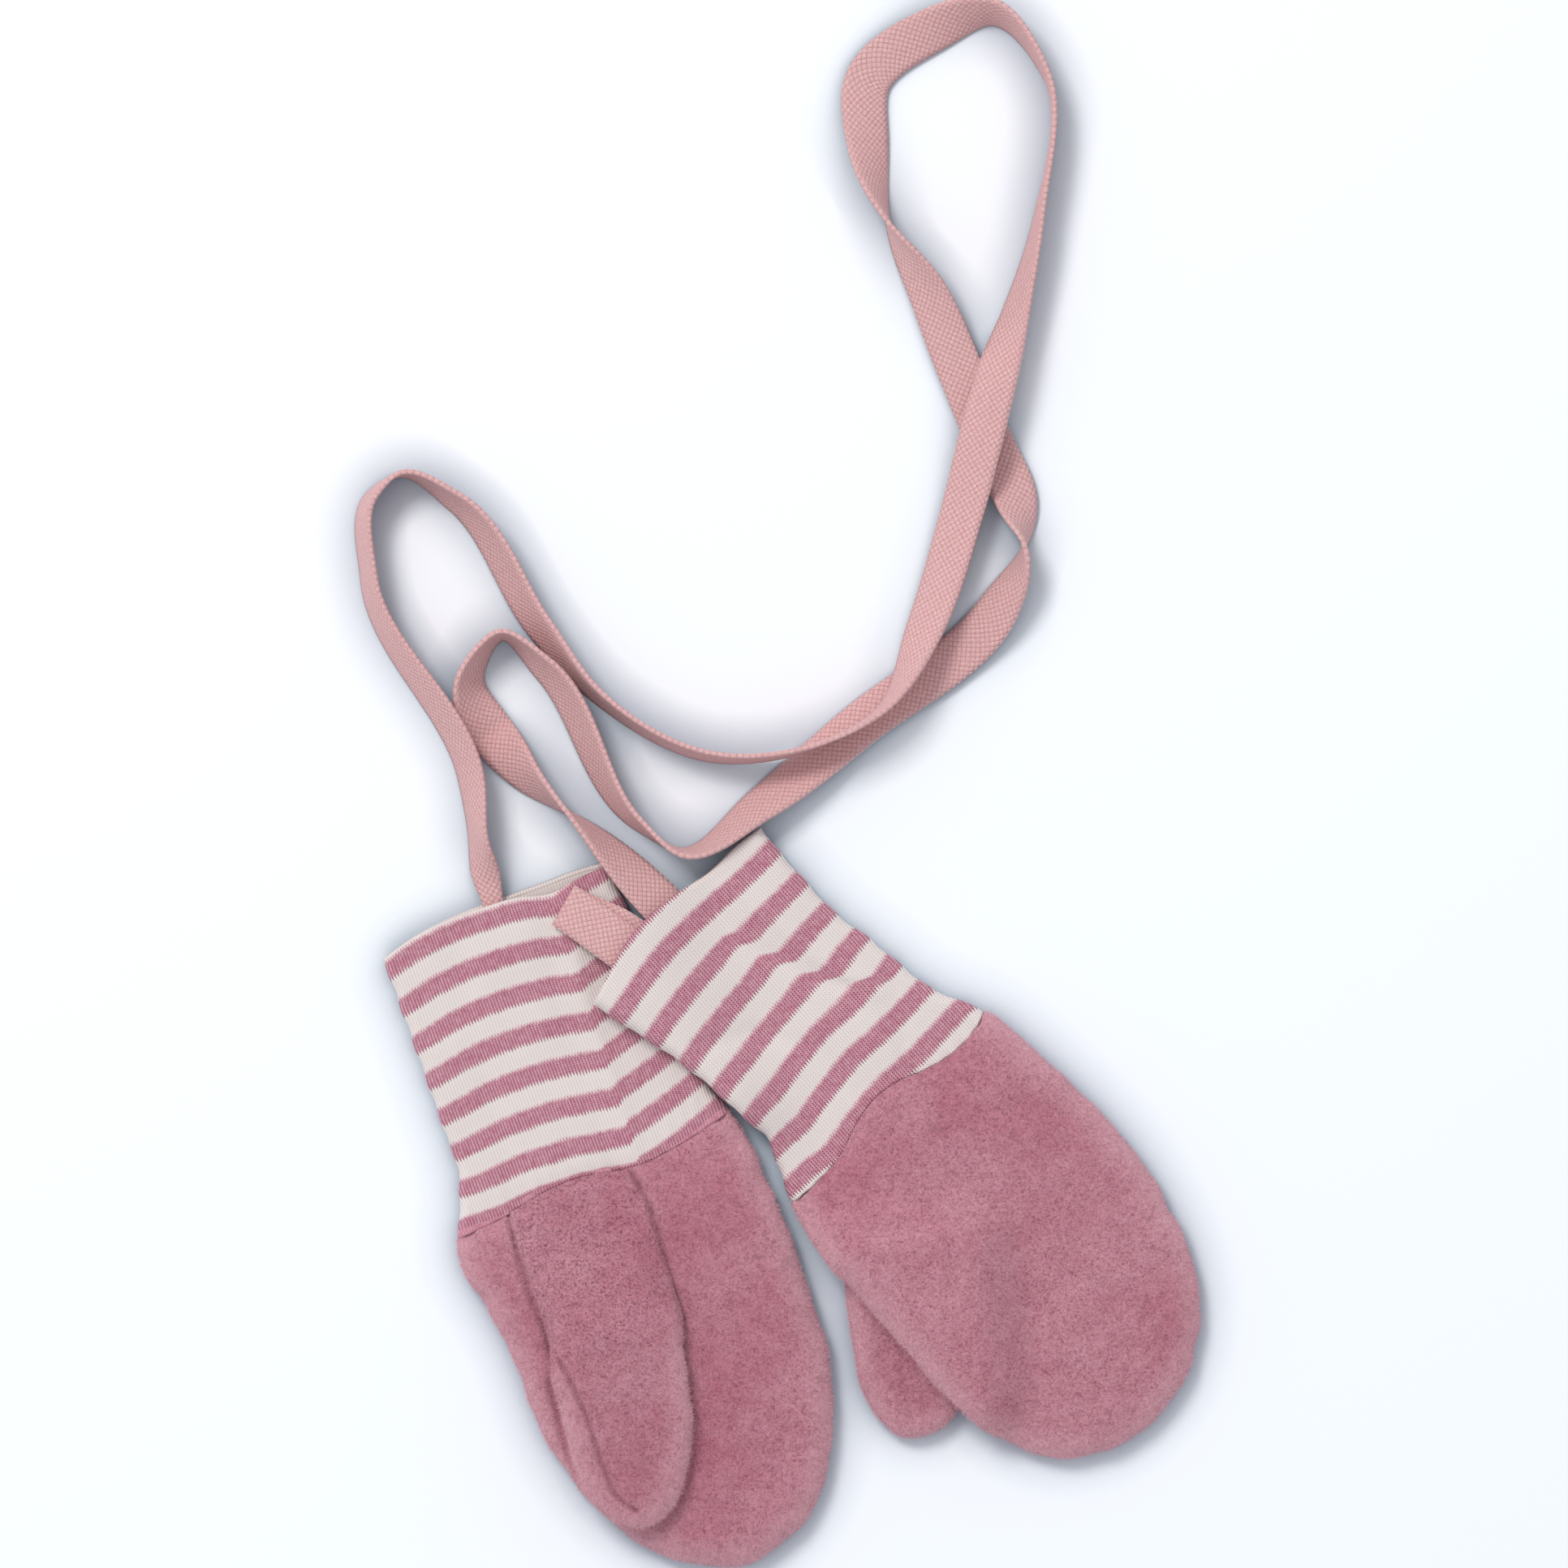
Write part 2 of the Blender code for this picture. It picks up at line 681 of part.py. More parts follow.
hand_panel(PALM_UP, "palm_up_back", BOTTOM_REACH, hand_bottom, flip=True)
notched_palm(PALM_UP, TOP_THUMB, "palm_up_palm")
gusset_thumb_front(PALM_UP, TOP_THUMB, "palm_up_thumb_front")
thumb_half(TOP_THUMB, "palm_up_thumb_back", TOP_THUMB_BASE, GUSSET_END + 4.0, top=False)
cuff_tube(PALM_UP, "palm_up_cuff", 0.0)

hand_panel(BACK_UP, "back_up_back", TOP_REACH, hand_top, flip=False)
hand_panel(BACK_UP, "back_up_palm", BOTTOM_REACH, hand_bottom, flip=True)
thumb_half(UNDER_THUMB, "back_up_thumb_front", 0.0, 8.0, top=False)
thumb_half(UNDER_THUMB, "back_up_thumb_back", 0.0, 8.0, top=True)
cuff_tube(BACK_UP, "back_up_cuff", CUFF_MOUTH_EXTRA)

tape()
tape_loop()
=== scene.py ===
import math

import bmesh
import bpy
import numpy as np
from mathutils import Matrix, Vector, noise


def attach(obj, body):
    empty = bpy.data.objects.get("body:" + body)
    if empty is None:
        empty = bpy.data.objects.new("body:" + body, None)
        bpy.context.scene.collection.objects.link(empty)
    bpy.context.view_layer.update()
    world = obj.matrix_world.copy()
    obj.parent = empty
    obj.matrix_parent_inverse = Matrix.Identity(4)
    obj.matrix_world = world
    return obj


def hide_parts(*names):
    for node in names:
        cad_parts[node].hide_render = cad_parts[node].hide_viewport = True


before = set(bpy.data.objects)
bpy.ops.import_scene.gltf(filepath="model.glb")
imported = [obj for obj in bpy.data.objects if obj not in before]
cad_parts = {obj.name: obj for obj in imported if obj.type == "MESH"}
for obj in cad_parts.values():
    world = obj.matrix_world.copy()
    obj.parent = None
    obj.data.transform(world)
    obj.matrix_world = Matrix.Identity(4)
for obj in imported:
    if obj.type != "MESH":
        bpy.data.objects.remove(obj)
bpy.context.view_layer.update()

mm = 0.001
middle = np.array([-0.75, -0.68, 0.0])  # middle of the mittens in the frame of the tables, which are in mm

# The camera looks straight down, and the photograph's full height is 376.7 mm there
view = {"centre": (-1.59, 98.96), "field": 376.74, "height": 2000.0, "sensor": 36.0}
eye = bpy.data.cameras.new("camera")
eye.sensor_width = view["sensor"]
eye.lens = view["sensor"] * view["height"] / view["field"]
camera = bpy.data.objects.new("camera", eye)
camera.location = (view["centre"][0] * mm, view["centre"][1] * mm, view["height"] * mm)
bpy.context.scene.collection.objects.link(camera)
bpy.context.scene.camera = camera
bpy.context.scene.view_settings.view_transform = "Standard"
print("camera set")


def readCurve(xs, ys, x):
    # a smooth line through a table's rows, read at x
    xs, ys = np.asarray(xs, float), np.asarray(ys, float)
    x = np.clip(x, xs[0], xs[-1])
    slope = np.gradient(ys, xs)
    i = np.clip(np.searchsorted(xs, x) - 1, 0, len(xs) - 2)
    step = xs[i + 1] - xs[i]
    f = (x - xs[i]) / step
    start = ys[i] * (1 + 2 * f) * (1 - f) ** 2 + step * slope[i] * f * (1 - f) ** 2
    return start + ys[i + 1] * f * f * (3 - 2 * f) - step * slope[i + 1] * f * f * (1 - f)


def fade(low, high, x):
    f = np.clip((x - low) / (high - low), 0, 1)
    return f * f * (3 - 2 * f)


def roundOver(distance, reach):
    f = np.clip(distance / reach, 0, 1)
    return np.sqrt(1 - (1 - f) ** 2)


def columnsOf(names, *rows):
    return {name: [row[i] for row in rows] for i, name in enumerate(names.split())}


photo = {"zero": (978, 1470), "pixel": 0.195}  # the pixel where the tables have their zero, and mm a pixel


def lineOf(pixels):
    # a line drawn on the photograph, in mm
    zero, pixel = photo["zero"], photo["pixel"]
    return np.array([((x - zero[0]) * pixel, (zero[1] - y) * pixel) for x, y in pixels])


def lineDistance(line, x, y):
    # distance from each point to a broken line
    best = np.full(x.shape, 1e9)
    for a, b in zip(line[:-1], line[1:]):
        run = b - a
        f = np.clip(((x - a[0]) * run[0] + (y - a[1]) * run[1]) / (run @ run), 0, 1)
        best = np.minimum(best, np.hypot(x - a[0] - f * run[0], y - a[1] - f * run[1]))
    return best


def ridge(distance, depth, width):
    # a rounded crease or groove, read at each distance from its line
    return depth * np.exp(-((distance / width) ** 2))


# Each mitten and thumb lies along its own line; along is from the wrist seam to the tip
palmUp = {
    "wrist": (-46.0, 4.5),
    "heading": -69.6,
    "sides": columnsOf(
        "along right left",
        (-72.0, 26.4, 31.2),
        (-63.0, 27.6, 31.2),
        (-43.0, 27.8, 31.4),
        (-22.0, 29.6, 31.8),
        (-13.0, 31.2, 32.0),
        (-6.0, 33.3, 34.2),
        (0.0, 35.0, 36.7),
        (6.0, 36.0, 38.7),
        (12.0, 36.3, 38.9),
        (20.0, 36.9, 36.9),
        (28.0, 37.1, 35.6),
        (36.0, 36.9, 35.2),
        (44.0, 36.8, 35.2),
    ),
    "tip": {"start": 44.0, "end": 99.2, "power": 2.0, "shift": 1.2},
    "mouth": columnsOf(
        "across top bottom",
        (-31.2, -66.9, -66.9),
        (-22.0, -69.3, -69.5),
        (-13.0, -70.2, -70.6),
        (-4.0, -70.1, -70.8),
        (4.0, -69.6, -70.8),
        (12.0, -67.7, -70.7),
        (19.0, -68.7, -70.8),
        (27.0, -69.2, -70.2),
    ),
    "seam": columnsOf(
        "across along",
        (-37.0, 2.2),
        (-27.0, 1.5),
        (-16.0, -0.8),
        (-6.0, -1.4),
        (4.0, 0.2),
        (10.0, 0.8),
        (18.0, 0.0),
        (27.0, -1.8),
        (34.0, -3.8),
    ),
}
backUp = {
    "wrist": (21.8, 19.1),
    "heading": -47.9,
    "sides": columnsOf(
        "along right left",
        (-74.0, 24.6, 34.0),
        (-66.0, 23.6, 33.9),
        (-56.0, 23.4, 31.4),
        (-44.0, 23.6, 28.3),
        (-32.0, 25.8, 26.4),
        (-22.0, 27.2, 25.6),
        (-14.0, 28.8, 24.9),
        (-8.0, 31.8, 27.4),
        (0.0, 34.9, 30.5),
        (8.0, 36.6, 33.0),
        (20.0, 37.7, 34.1),
        (32.0, 38.4, 33.6),
        (45.0, 38.6, 34.0),
    ),
    "tip": {"start": 45.0, "end": 97.4, "power": 2.3, "shift": -4.6},
    "mouth": columnsOf(
        "across top bottom",
        (-34.2, -66.3, -66.3),
        (-25.3, -69.8, -69.8),
        (-16.3, -72.6, -72.6),
        (-7.8, -73.2, -73.2),
        (0.0, -72.5, -72.5),
        (8.0, -71.3, -71.3),
        (16.0, -71.7, -71.7),
        (24.6, -71.0, -71.0),
    ),
    "seam": columnsOf(
        "across along",
        (-31.2, 0.9),
        (-22.0, 1.1),
        (-14.0, 0.0),
        (-7.0, -2.7),
        (0.6, -4.4),
        (8.0, -3.7),
        (14.0, -1.6),
        (21.0, -0.1),
        (29.0, -0.5),
        (34.2, -2.2),
    ),
}
topThumb = {
    "wrist": palmUp["wrist"],
    "heading": palmUp["heading"],
    "sides": columnsOf(
        "along right left",
        (0.0, 7.0, 24.0),
        (12.0, 8.3, 25.3),
        (22.0, 7.8, 26.0),
        (34.0, 6.7, 26.2),
        (40.0, 5.4, 27.4),
        (50.0, 3.2, 29.0),
        (57.0, 1.2, 29.5),
    ),
    "tip": {"start": 57.0, "end": 81.7, "power": 2.0, "shift": -4.6},
}
underThumb = {
    "sides": columnsOf(
        "along right left",
        (8.0, 13.5, 13.4),
        (15.0, 13.6, 13.4),
        (30.0, 13.2, 12.8),
    ),
    "tip": {"start": 30.0, "end": 50.4, "power": 2.2, "shift": 0.6},
}


def toWorld(form, s, t):
    angle = math.radians(form["heading"])
    x = form["wrist"][0] + s * math.cos(angle) - t * math.sin(angle)
    y = form["wrist"][1] + s * math.sin(angle) + t * math.cos(angle)
    return x, y


def toForm(form, x, y):
    angle = math.radians(form["heading"])
    dx, dy = x - form["wrist"][0], y - form["wrist"][1]
    return dx * math.cos(angle) + dy * math.sin(angle), dy * math.cos(angle) - dx * math.sin(angle)


underThumb["wrist"] = toWorld(backUp, 21.9, -16.5)
underThumb["heading"] = backUp["heading"] - 36.0


def sideLines(form, s):
    rows, tip = form["sides"], form["tip"]
    right = readCurve(rows["along"], rows["right"], s)
    left = -readCurve(rows["along"], rows["left"], s)
    f = np.clip((s - tip["start"]) / (tip["end"] - tip["start"]), 0, 1)
    centre = (left + right) / 2 + tip["shift"] * f
    half = (right - left) / 2 * (1 - f ** tip["power"]) ** (1 / tip["power"])
    return centre - half, centre + half


def tipStations(form, count):
    # rows that lie closer towards the tip's end, and stop just short of it
    tip = form["tip"]
    turns = np.linspace(0, math.radians(89.2), count)
    return tip["start"] + (tip["end"] - tip["start"]) * np.sin(turns) ** (2 / tip["power"])


outline = {"sideRows": 300, "tipRows": 241}  # how finely a form's edge is followed


def edgeDistance(form, s, t):
    first = form["sides"]["along"][0]
    sides = np.linspace(first, form["tip"]["start"], outline["sideRows"])[:-1]
    stations = np.r_[sides, tipStations(form, outline["tipRows"])]
    left, right = sideLines(form, stations)
    line = np.stack([np.r_[stations, stations[::-1]], np.r_[left, right[::-1]]], axis=1)
    return lineDistance(line, s, t)


def outside(form, s, t):
    # distance from a form's edge, negative inside it
    first, end = form["sides"]["along"][0], form["tip"]["end"]
    left, right = sideLines(form, s)
    between = (t > left) & (t < right)
    distance = edgeDistance(form, s, t)
    distance = np.where(between & (s > first) & (s < end), -distance, distance)
    return np.where(between & (s <= first), first - s, distance)


def seamLine(form, t):
    return readCurve(form["seam"]["across"], form["seam"]["along"], t)


carried = {
    "overThumb": 6.8,
    "thumbFade": (3.0, 18.0),
    "overCuff": 6.6,
    "cuffFade": (-1.0, 22.0),
    "cuffEnd": (-30.0, -5.0),
    "sideLimit": 20.0,
}


def lift(form, s, t):
    # how high the second mitten is carried by the thumb and the cuff under it
    if form is not backUp:
        return np.zeros_like(s)
    x, y = toWorld(form, s, t)
    sUnder, tUnder = toForm(palmUp, x, y)
    past = tUnder - sideLines(palmUp, np.minimum(sUnder, carried["sideLimit"]))[1]
    overCuff = (1 - fade(*carried["cuffFade"], past)) * (1 - fade(*carried["cuffEnd"], s))
    overThumb = 1 - fade(*carried["thumbFade"], outside(underThumb, *toForm(underThumb, x, y)))
    return np.maximum(carried["overCuff"] * overCuff, carried["overThumb"] * overThumb)


def softNoise(x, y, size, seed=0.0):
    # a smooth random height for each point, about -1 to 1
    values = [noise.noise(Vector((a / size, b / size, seed))) for a, b in zip(x.ravel(), y.ravel())]
    return np.array(values).reshape(x.shape) * 1.6


def sheetFrom(name, points, cut, flip=False, rim=None):
    # a grid of points in mm as one open sheet
    # cut is each point's place on the flat cloth, kept as its UV map; the last is its share of the painted
    # sheen
    rows, columns = points.shape[:2]
    bm = bmesh.new()
    bmesh.ops.create_grid(bm, x_segments=rows - 1, y_segments=columns - 1, size=1)
    flat = np.array([(v.co.x, v.co.y) for v in bm.verts])
    spot = np.rint((flat + 1) / 2 * [rows - 1, columns - 1]).astype(int)
    cutMap = bm.loops.layers.uv.new("cut")
    for face in bm.faces:
        for loop in face.loops:
            loop[cutMap].uv = cut[tuple(spot[loop.vert.index])]
    # painted sheen: kept as a point attribute, it makes the colour paler towards the sewn edge, as light
    # on the rounded edge would
    if rim is not None:
        rimMap = bm.verts.layers.float.new("rim")
        for v, (i, j) in zip(bm.verts, spot):
            v[rimMap] = rim[i, j]
    placed = (points - middle) * mm
    for v, (i, j) in zip(bm.verts, spot):
        v.co = placed[i, j]
    bmesh.ops.remove_doubles(bm, verts=bm.verts, dist=2e-6)  # closes a tube along its side
    if flip:
        bmesh.ops.reverse_faces(bm, faces=bm.faces)
    mesh = bpy.data.meshes.new(name)
    bm.to_mesh(mesh)
    bm.free()
    mesh.shade_smooth()
    return mesh


def addPiece(name, mesh, material, wall=0.0, offset=-1.0):
    piece = bpy.data.objects.new(name, mesh)
    bpy.context.scene.collection.objects.link(piece)
    mesh.materials.append(material)
    if wall:
        shell = piece.modifiers.new("wall", "SOLIDIFY")
        shell.thickness = wall * mm
        shell.offset = offset
    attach(piece, "root")
    return piece


def newMaterial(name, roughness):
    material = bpy.data.materials.new(name)
    material.use_nodes = True
    shader = material.node_tree.nodes["Principled BSDF"]
    shader.inputs["Roughness"].default_value = roughness
    shader.inputs["Specular IOR Level"].default_value = 0.2
    return material, material.node_tree, shader


def mathNode(tree, operation, a, b=None):
    node = tree.nodes.new("ShaderNodeMath")
    node.operation = operation
    for socket, value in zip(node.inputs, (a, b)):
        if isinstance(value, (int, float)):
            socket.default_value = value
        elif value is not None:
            tree.links.new(value, socket)
    return node.outputs[0]


def weighted(tree, values, shares):
    # the sum of two values, each by its share
    first, second = (mathNode(tree, "MULTIPLY", value, share) for value, share in zip(values, shares))
    return mathNode(tree, "ADD", first, second)


def mixColour(tree, factor, first, second):
    node = tree.nodes.new("ShaderNodeMix")
    node.data_type = "RGBA"
    for socket, value in ((node.inputs[0], factor), (node.inputs[6], first), (node.inputs[7], second)):
        if isinstance(value, tuple):
            socket.default_value = (*value, 1)
        elif isinstance(value, (int, float)):
            socket.default_value = value
        else:
            tree.links.new(value, socket)
    return node.outputs[2]


def noiseNode(tree, size, detail=3.0, distortion=0.0, roughness=0.5):
    # noise on Object coordinates, its grain about size mm
    place = tree.nodes.new("ShaderNodeTexCoord")
    node = tree.nodes.new("ShaderNodeTexNoise")
    node.inputs["Scale"].default_value = 1000.0 / size
    node.inputs["Detail"].default_value = detail
    node.inputs["Distortion"].default_value = distortion
    node.inputs["Roughness"].default_value = roughness
    tree.links.new(place.outputs["Object"], node.inputs["Vector"])
    return node.outputs["Fac"]


def spread(tree, value, low, high):
    node = tree.nodes.new("ShaderNodeMapRange")
    node.inputs["From Min"].default_value = low
    node.inputs["From Max"].default_value = high
    tree.links.new(value, node.inputs["Value"])
    return node.outputs[0]


def addBump(tree, shader, height, distance):
    node = tree.nodes.new("ShaderNodeBump")
    node.inputs["Strength"].default_value = 1.0
    node.inputs["Distance"].default_value = distance * mm
    tree.links.new(height, node.inputs["Height"])
    tree.links.new(node.outputs["Normal"], shader.inputs["Normal"])


def cutPlace(tree):
    # the piece's place on its flat cut
    place = tree.nodes.new("ShaderNodeUVMap")
    place.uv_map = "cut"
    split = tree.nodes.new("ShaderNodeSeparateXYZ")
    tree.links.new(place.outputs["UV"], split.inputs[0])
    return split.outputs[0], split.outputs[1]


# Sizes are in mm; a range is the part of a noise's values that is spread from 0 to 1
fleeceLook = {
    "name": "dusty rose fleece",
    "deep": (0.250, 0.066, 0.105),
    "main": (0.610, 0.217, 0.285),
    "pale": (0.790, 0.400, 0.470),
    # painted sheen: the paler colour mixed in towards the sewn edge, by its share
    "rim": (0.880, 0.520, 0.580),
    "fibre": 0.45,
    "fibreRange": (0.32, 0.68),
    "speck": 0.62,
    "speckRange": (0.46, 0.66),
    "clump": 3.2,
    "clumpRange": (0.34, 0.66),
    "patch": 26.0,
    "patchRange": (0.32, 0.68),
    "paleShares": (0.3, 0.6),  # of the clumps and of the patches
    "rimShare": 0.6,
    "deepShare": 0.66,
    "deepLess": (0.2, 0.28),  # in the clumps and at the rim
    "deepFibre": 0.2,
    "reliefShares": (0.6, 0.9),  # of the fibres and of the clumps
    "relief": 0.22,
    "sheen": 0.4,
    "sheenRoughness": 0.45,
    "sheenTint": (1.0, 0.82, 0.88),
}
napLook = {
    **fleeceLook,
    "name": "dusty rose nap",
    "deep": (0.320, 0.090, 0.135),
    "main": (0.700, 0.280, 0.348),
    "pale": (0.850, 0.475, 0.540),
    # painted sheen on the fibres towards the sewn edge
    "rim": (0.920, 0.600, 0.650),
    "fibre": 0.32,
    "relief": 0.05,
    "sheen": 0.35,
}


def makeFleece(look):
    material, tree, shader = newMaterial(look["name"], 0.95)
    fibre = spread(tree, noiseNode(tree, look["fibre"], 4, 1.2, 0.7), *look["fibreRange"])
    speck = spread(tree, noiseNode(tree, look["speck"], 3, 0.8, 0.65), *look["speckRange"])
    clump = spread(tree, noiseNode(tree, look["clump"], 3, 0.6), *look["clumpRange"])
    patch = spread(tree, noiseNode(tree, look["patch"], 2), *look["patchRange"])
    # painted sheen: the attribute mixes in the paler colour towards the sewn edge, where light on the
    # rounded edge makes fleece look paler
    rimNode = tree.nodes.new("ShaderNodeAttribute")
    rimNode.attribute_name = "rim"
    rim = rimNode.outputs["Fac"]
    tone = weighted(tree, (clump, patch), look["paleShares"])
    ground = mixColour(tree, tone, look["main"], look["pale"])
    ground = mixColour(tree, mathNode(tree, "MULTIPLY", rim, look["rimShare"]), ground, look["rim"])
    # the deep colour shows in the specks and between the fibres, less in the clumps and at the rim, where
    # the sheen is painted
    less = weighted(tree, (clump, rim), look["deepLess"])
    inSpecks = mathNode(tree, "MULTIPLY", speck, mathNode(tree, "SUBTRACT", look["deepShare"], less))
    between = mathNode(tree, "SUBTRACT", 1.0, fibre)
    dark = mathNode(tree, "ADD", inSpecks, mathNode(tree, "MULTIPLY", between, look["deepFibre"]))
    colour = mixColour(tree, dark, ground, look["deep"])
    tree.links.new(colour, shader.inputs["Base Color"])
    shader.inputs["Sheen Weight"].default_value = look["sheen"]
    shader.inputs["Sheen Roughness"].default_value = look["sheenRoughness"]
    shader.inputs["Sheen Tint"].default_value = (*look["sheenTint"], 1)
    addBump(tree, shader, weighted(tree, (fibre, clump), look["reliefShares"]), look["relief"])
    return material


jerseyLook = {
    "purple": (0.545, 0.205, 0.280),
    "purplePale": (0.690, 0.345, 0.410),
    # painted shade: the colours that darken the gaps between the stitches, near black in the purple and
    # deeper in the cream
    "hole": (0.060, 0.012, 0.028),
    "cream": (0.795, 0.702, 0.670),
    "creamShade": (0.420, 0.340, 0.310),
    "creamShadeShare": 0.55,
    "band": 0.475,
    "courses": 17.0,
    "armLean": 1.3,
    "tooth": 0.12,
    "uneven": 0.10,
    "unevenSize": 1.3,
    "gapRange": (0.25, 0.8),
    "yarn": 1.1,
    "yarnRange": (0.3, 0.7),
    "reliefShares": (0.7, 0.3),  # of the wales and of the stitches
    "relief": 0.16,
    "sheen": 0.12,
}


def makeJersey():
    # UV x counts wales and y counts stripes, one purple and one cream band each
    look = jerseyLook
    material, tree, shader = newMaterial("striped jersey", 0.9)
    wale, stripe = cutPlace(tree)
    inWale = mathNode(tree, "ABSOLUTE", mathNode(tree, "SUBTRACT", mathNode(tree, "FRACT", wale), 0.5))
    rib = mathNode(tree, "SUBTRACT", 1.0, mathNode(tree, "MULTIPLY", inWale, 2.0))
    arm = weighted(tree, (stripe, inWale), (look["courses"], look["armLean"]))
    stitch = mathNode(tree, "COSINE", mathNode(tree, "MULTIPLY", arm, 2 * math.pi))
    stitch = mathNode(tree, "ADD", mathNode(tree, "MULTIPLY", stitch, 0.5), 0.5)
    # the stripes change colour along the wales' teeth, a little unevenly
    uneven = mathNode(tree, "SUBTRACT", noiseNode(tree, look["unevenSize"], 2), 0.5)
    tooth = weighted(tree, (rib, uneven), (look["tooth"], look["uneven"]))
    phase = mathNode(tree, "FRACT", mathNode(tree, "ADD", stripe, tooth))
    purple = mathNode(tree, "LESS_THAN", phase, look["band"])
    # painted shade: the gaps between the wales, where the stitches meet, are darkened, near black in the
    # purple and deeper in the cream
    gapShade = spread(tree, mathNode(tree, "SUBTRACT", 1.0, rib), *look["gapRange"])
    gapShade = mathNode(tree, "MULTIPLY", gapShade, stitch)
    yarn = spread(tree, noiseNode(tree, look["yarn"], 3), *look["yarnRange"])
    dyed = mixColour(tree, yarn, look["purple"], look["purplePale"])
    dyed = mixColour(tree, gapShade, dyed, look["hole"])
    creamShadeShare = mathNode(tree, "MULTIPLY", gapShade, look["creamShadeShare"])
    bare = mixColour(tree, creamShadeShare, look["cream"], look["creamShade"])
    tree.links.new(mixColour(tree, purple, bare, dyed), shader.inputs["Base Color"])
    shader.inputs["Sheen Weight"].default_value = look["sheen"]
    addBump(tree, shader, weighted(tree, (rib, stitch), look["reliefShares"]), look["relief"])
    return material


braidLook = {
    "main": (0.640, 0.335, 0.335),
    "pale": (0.760, 0.480, 0.470),
    # the painted shade's colour in the pits between the strands
    "deep": (0.340, 0.130, 0.135),
    "strand": 1.6,
    "yarn": 0.5,
    "yarnRange": (0.3, 0.7),
    "pitPower": 2.5,
    "pitShare": 0.7,
    "border": (4.6, 5.3),
    "borderLess": 0.4,
    "relief": 0.16,
    "yarnRelief": 0.25,
    "sheen": 0.15,
}


def makeBraid():
    # UV x is mm along the tape and y mm from its middle
    look = braidLook
    material, tree, shader = newMaterial("braided tape", 0.9)
    along, across = cutPlace(tree)
    turn = math.pi / look["strand"]
    lean = mathNode(tree, "MULTIPLY", mathNode(tree, "ADD", along, across), turn)
    back = mathNode(tree, "MULTIPLY", mathNode(tree, "SUBTRACT", along, across), turn)
    over = mathNode(tree, "ABSOLUTE", mathNode(tree, "SINE", lean))
    under = mathNode(tree, "ABSOLUTE", mathNode(tree, "SINE", back))
    weave = mathNode(tree, "MULTIPLY", mathNode(tree, "SQRT", over), mathNode(tree, "SQRT", under))
    yarn = spread(tree, noiseNode(tree, look["yarn"], 3, 0.5), *look["yarnRange"])
    colour = mixColour(tree, yarn, look["main"], look["pale"])
    # painted shade: the pits between the strands are darkened, and less so along the tape's borders
    pitShade = mathNode(tree, "POWER", mathNode(tree, "SUBTRACT", 1.0, weave), look["pitPower"])
    border = spread(tree, mathNode(tree, "ABSOLUTE", across), *look["border"])
    less = mathNode(tree, "MULTIPLY", border, look["borderLess"])
    pitShade = mathNode(tree, "MULTIPLY", pitShade, mathNode(tree, "SUBTRACT", look["pitShare"], less))
    colour = mixColour(tree, pitShade, colour, look["deep"])
    tree.links.new(colour, shader.inputs["Base Color"])
    shader.inputs["Sheen Weight"].default_value = look["sheen"]
    height = mathNode(tree, "ADD", weave, mathNode(tree, "MULTIPLY", yarn, look["yarnRelief"]))
    addBump(tree, shader, height, look["relief"])
    return material


thumbShade = 0.96


def shaded(look, name):
    # the same cloth a little darker, for the thumb that lies on the palm
    darker = {key: tuple(c * thumbShade for c in look[key]) for key in ("deep", "main", "pale")}
    return {**look, "name": name, **darker}


fleece = makeFleece(fleeceLook)
nap = makeFleece(napLook)
thumbFleece = makeFleece(shaded(fleeceLook, "thumb fleece"))
thumbNap = makeFleece(shaded(napLook, "thumb nap"))
jersey = makeJersey()
braid = makeBraid()
print("materials made")

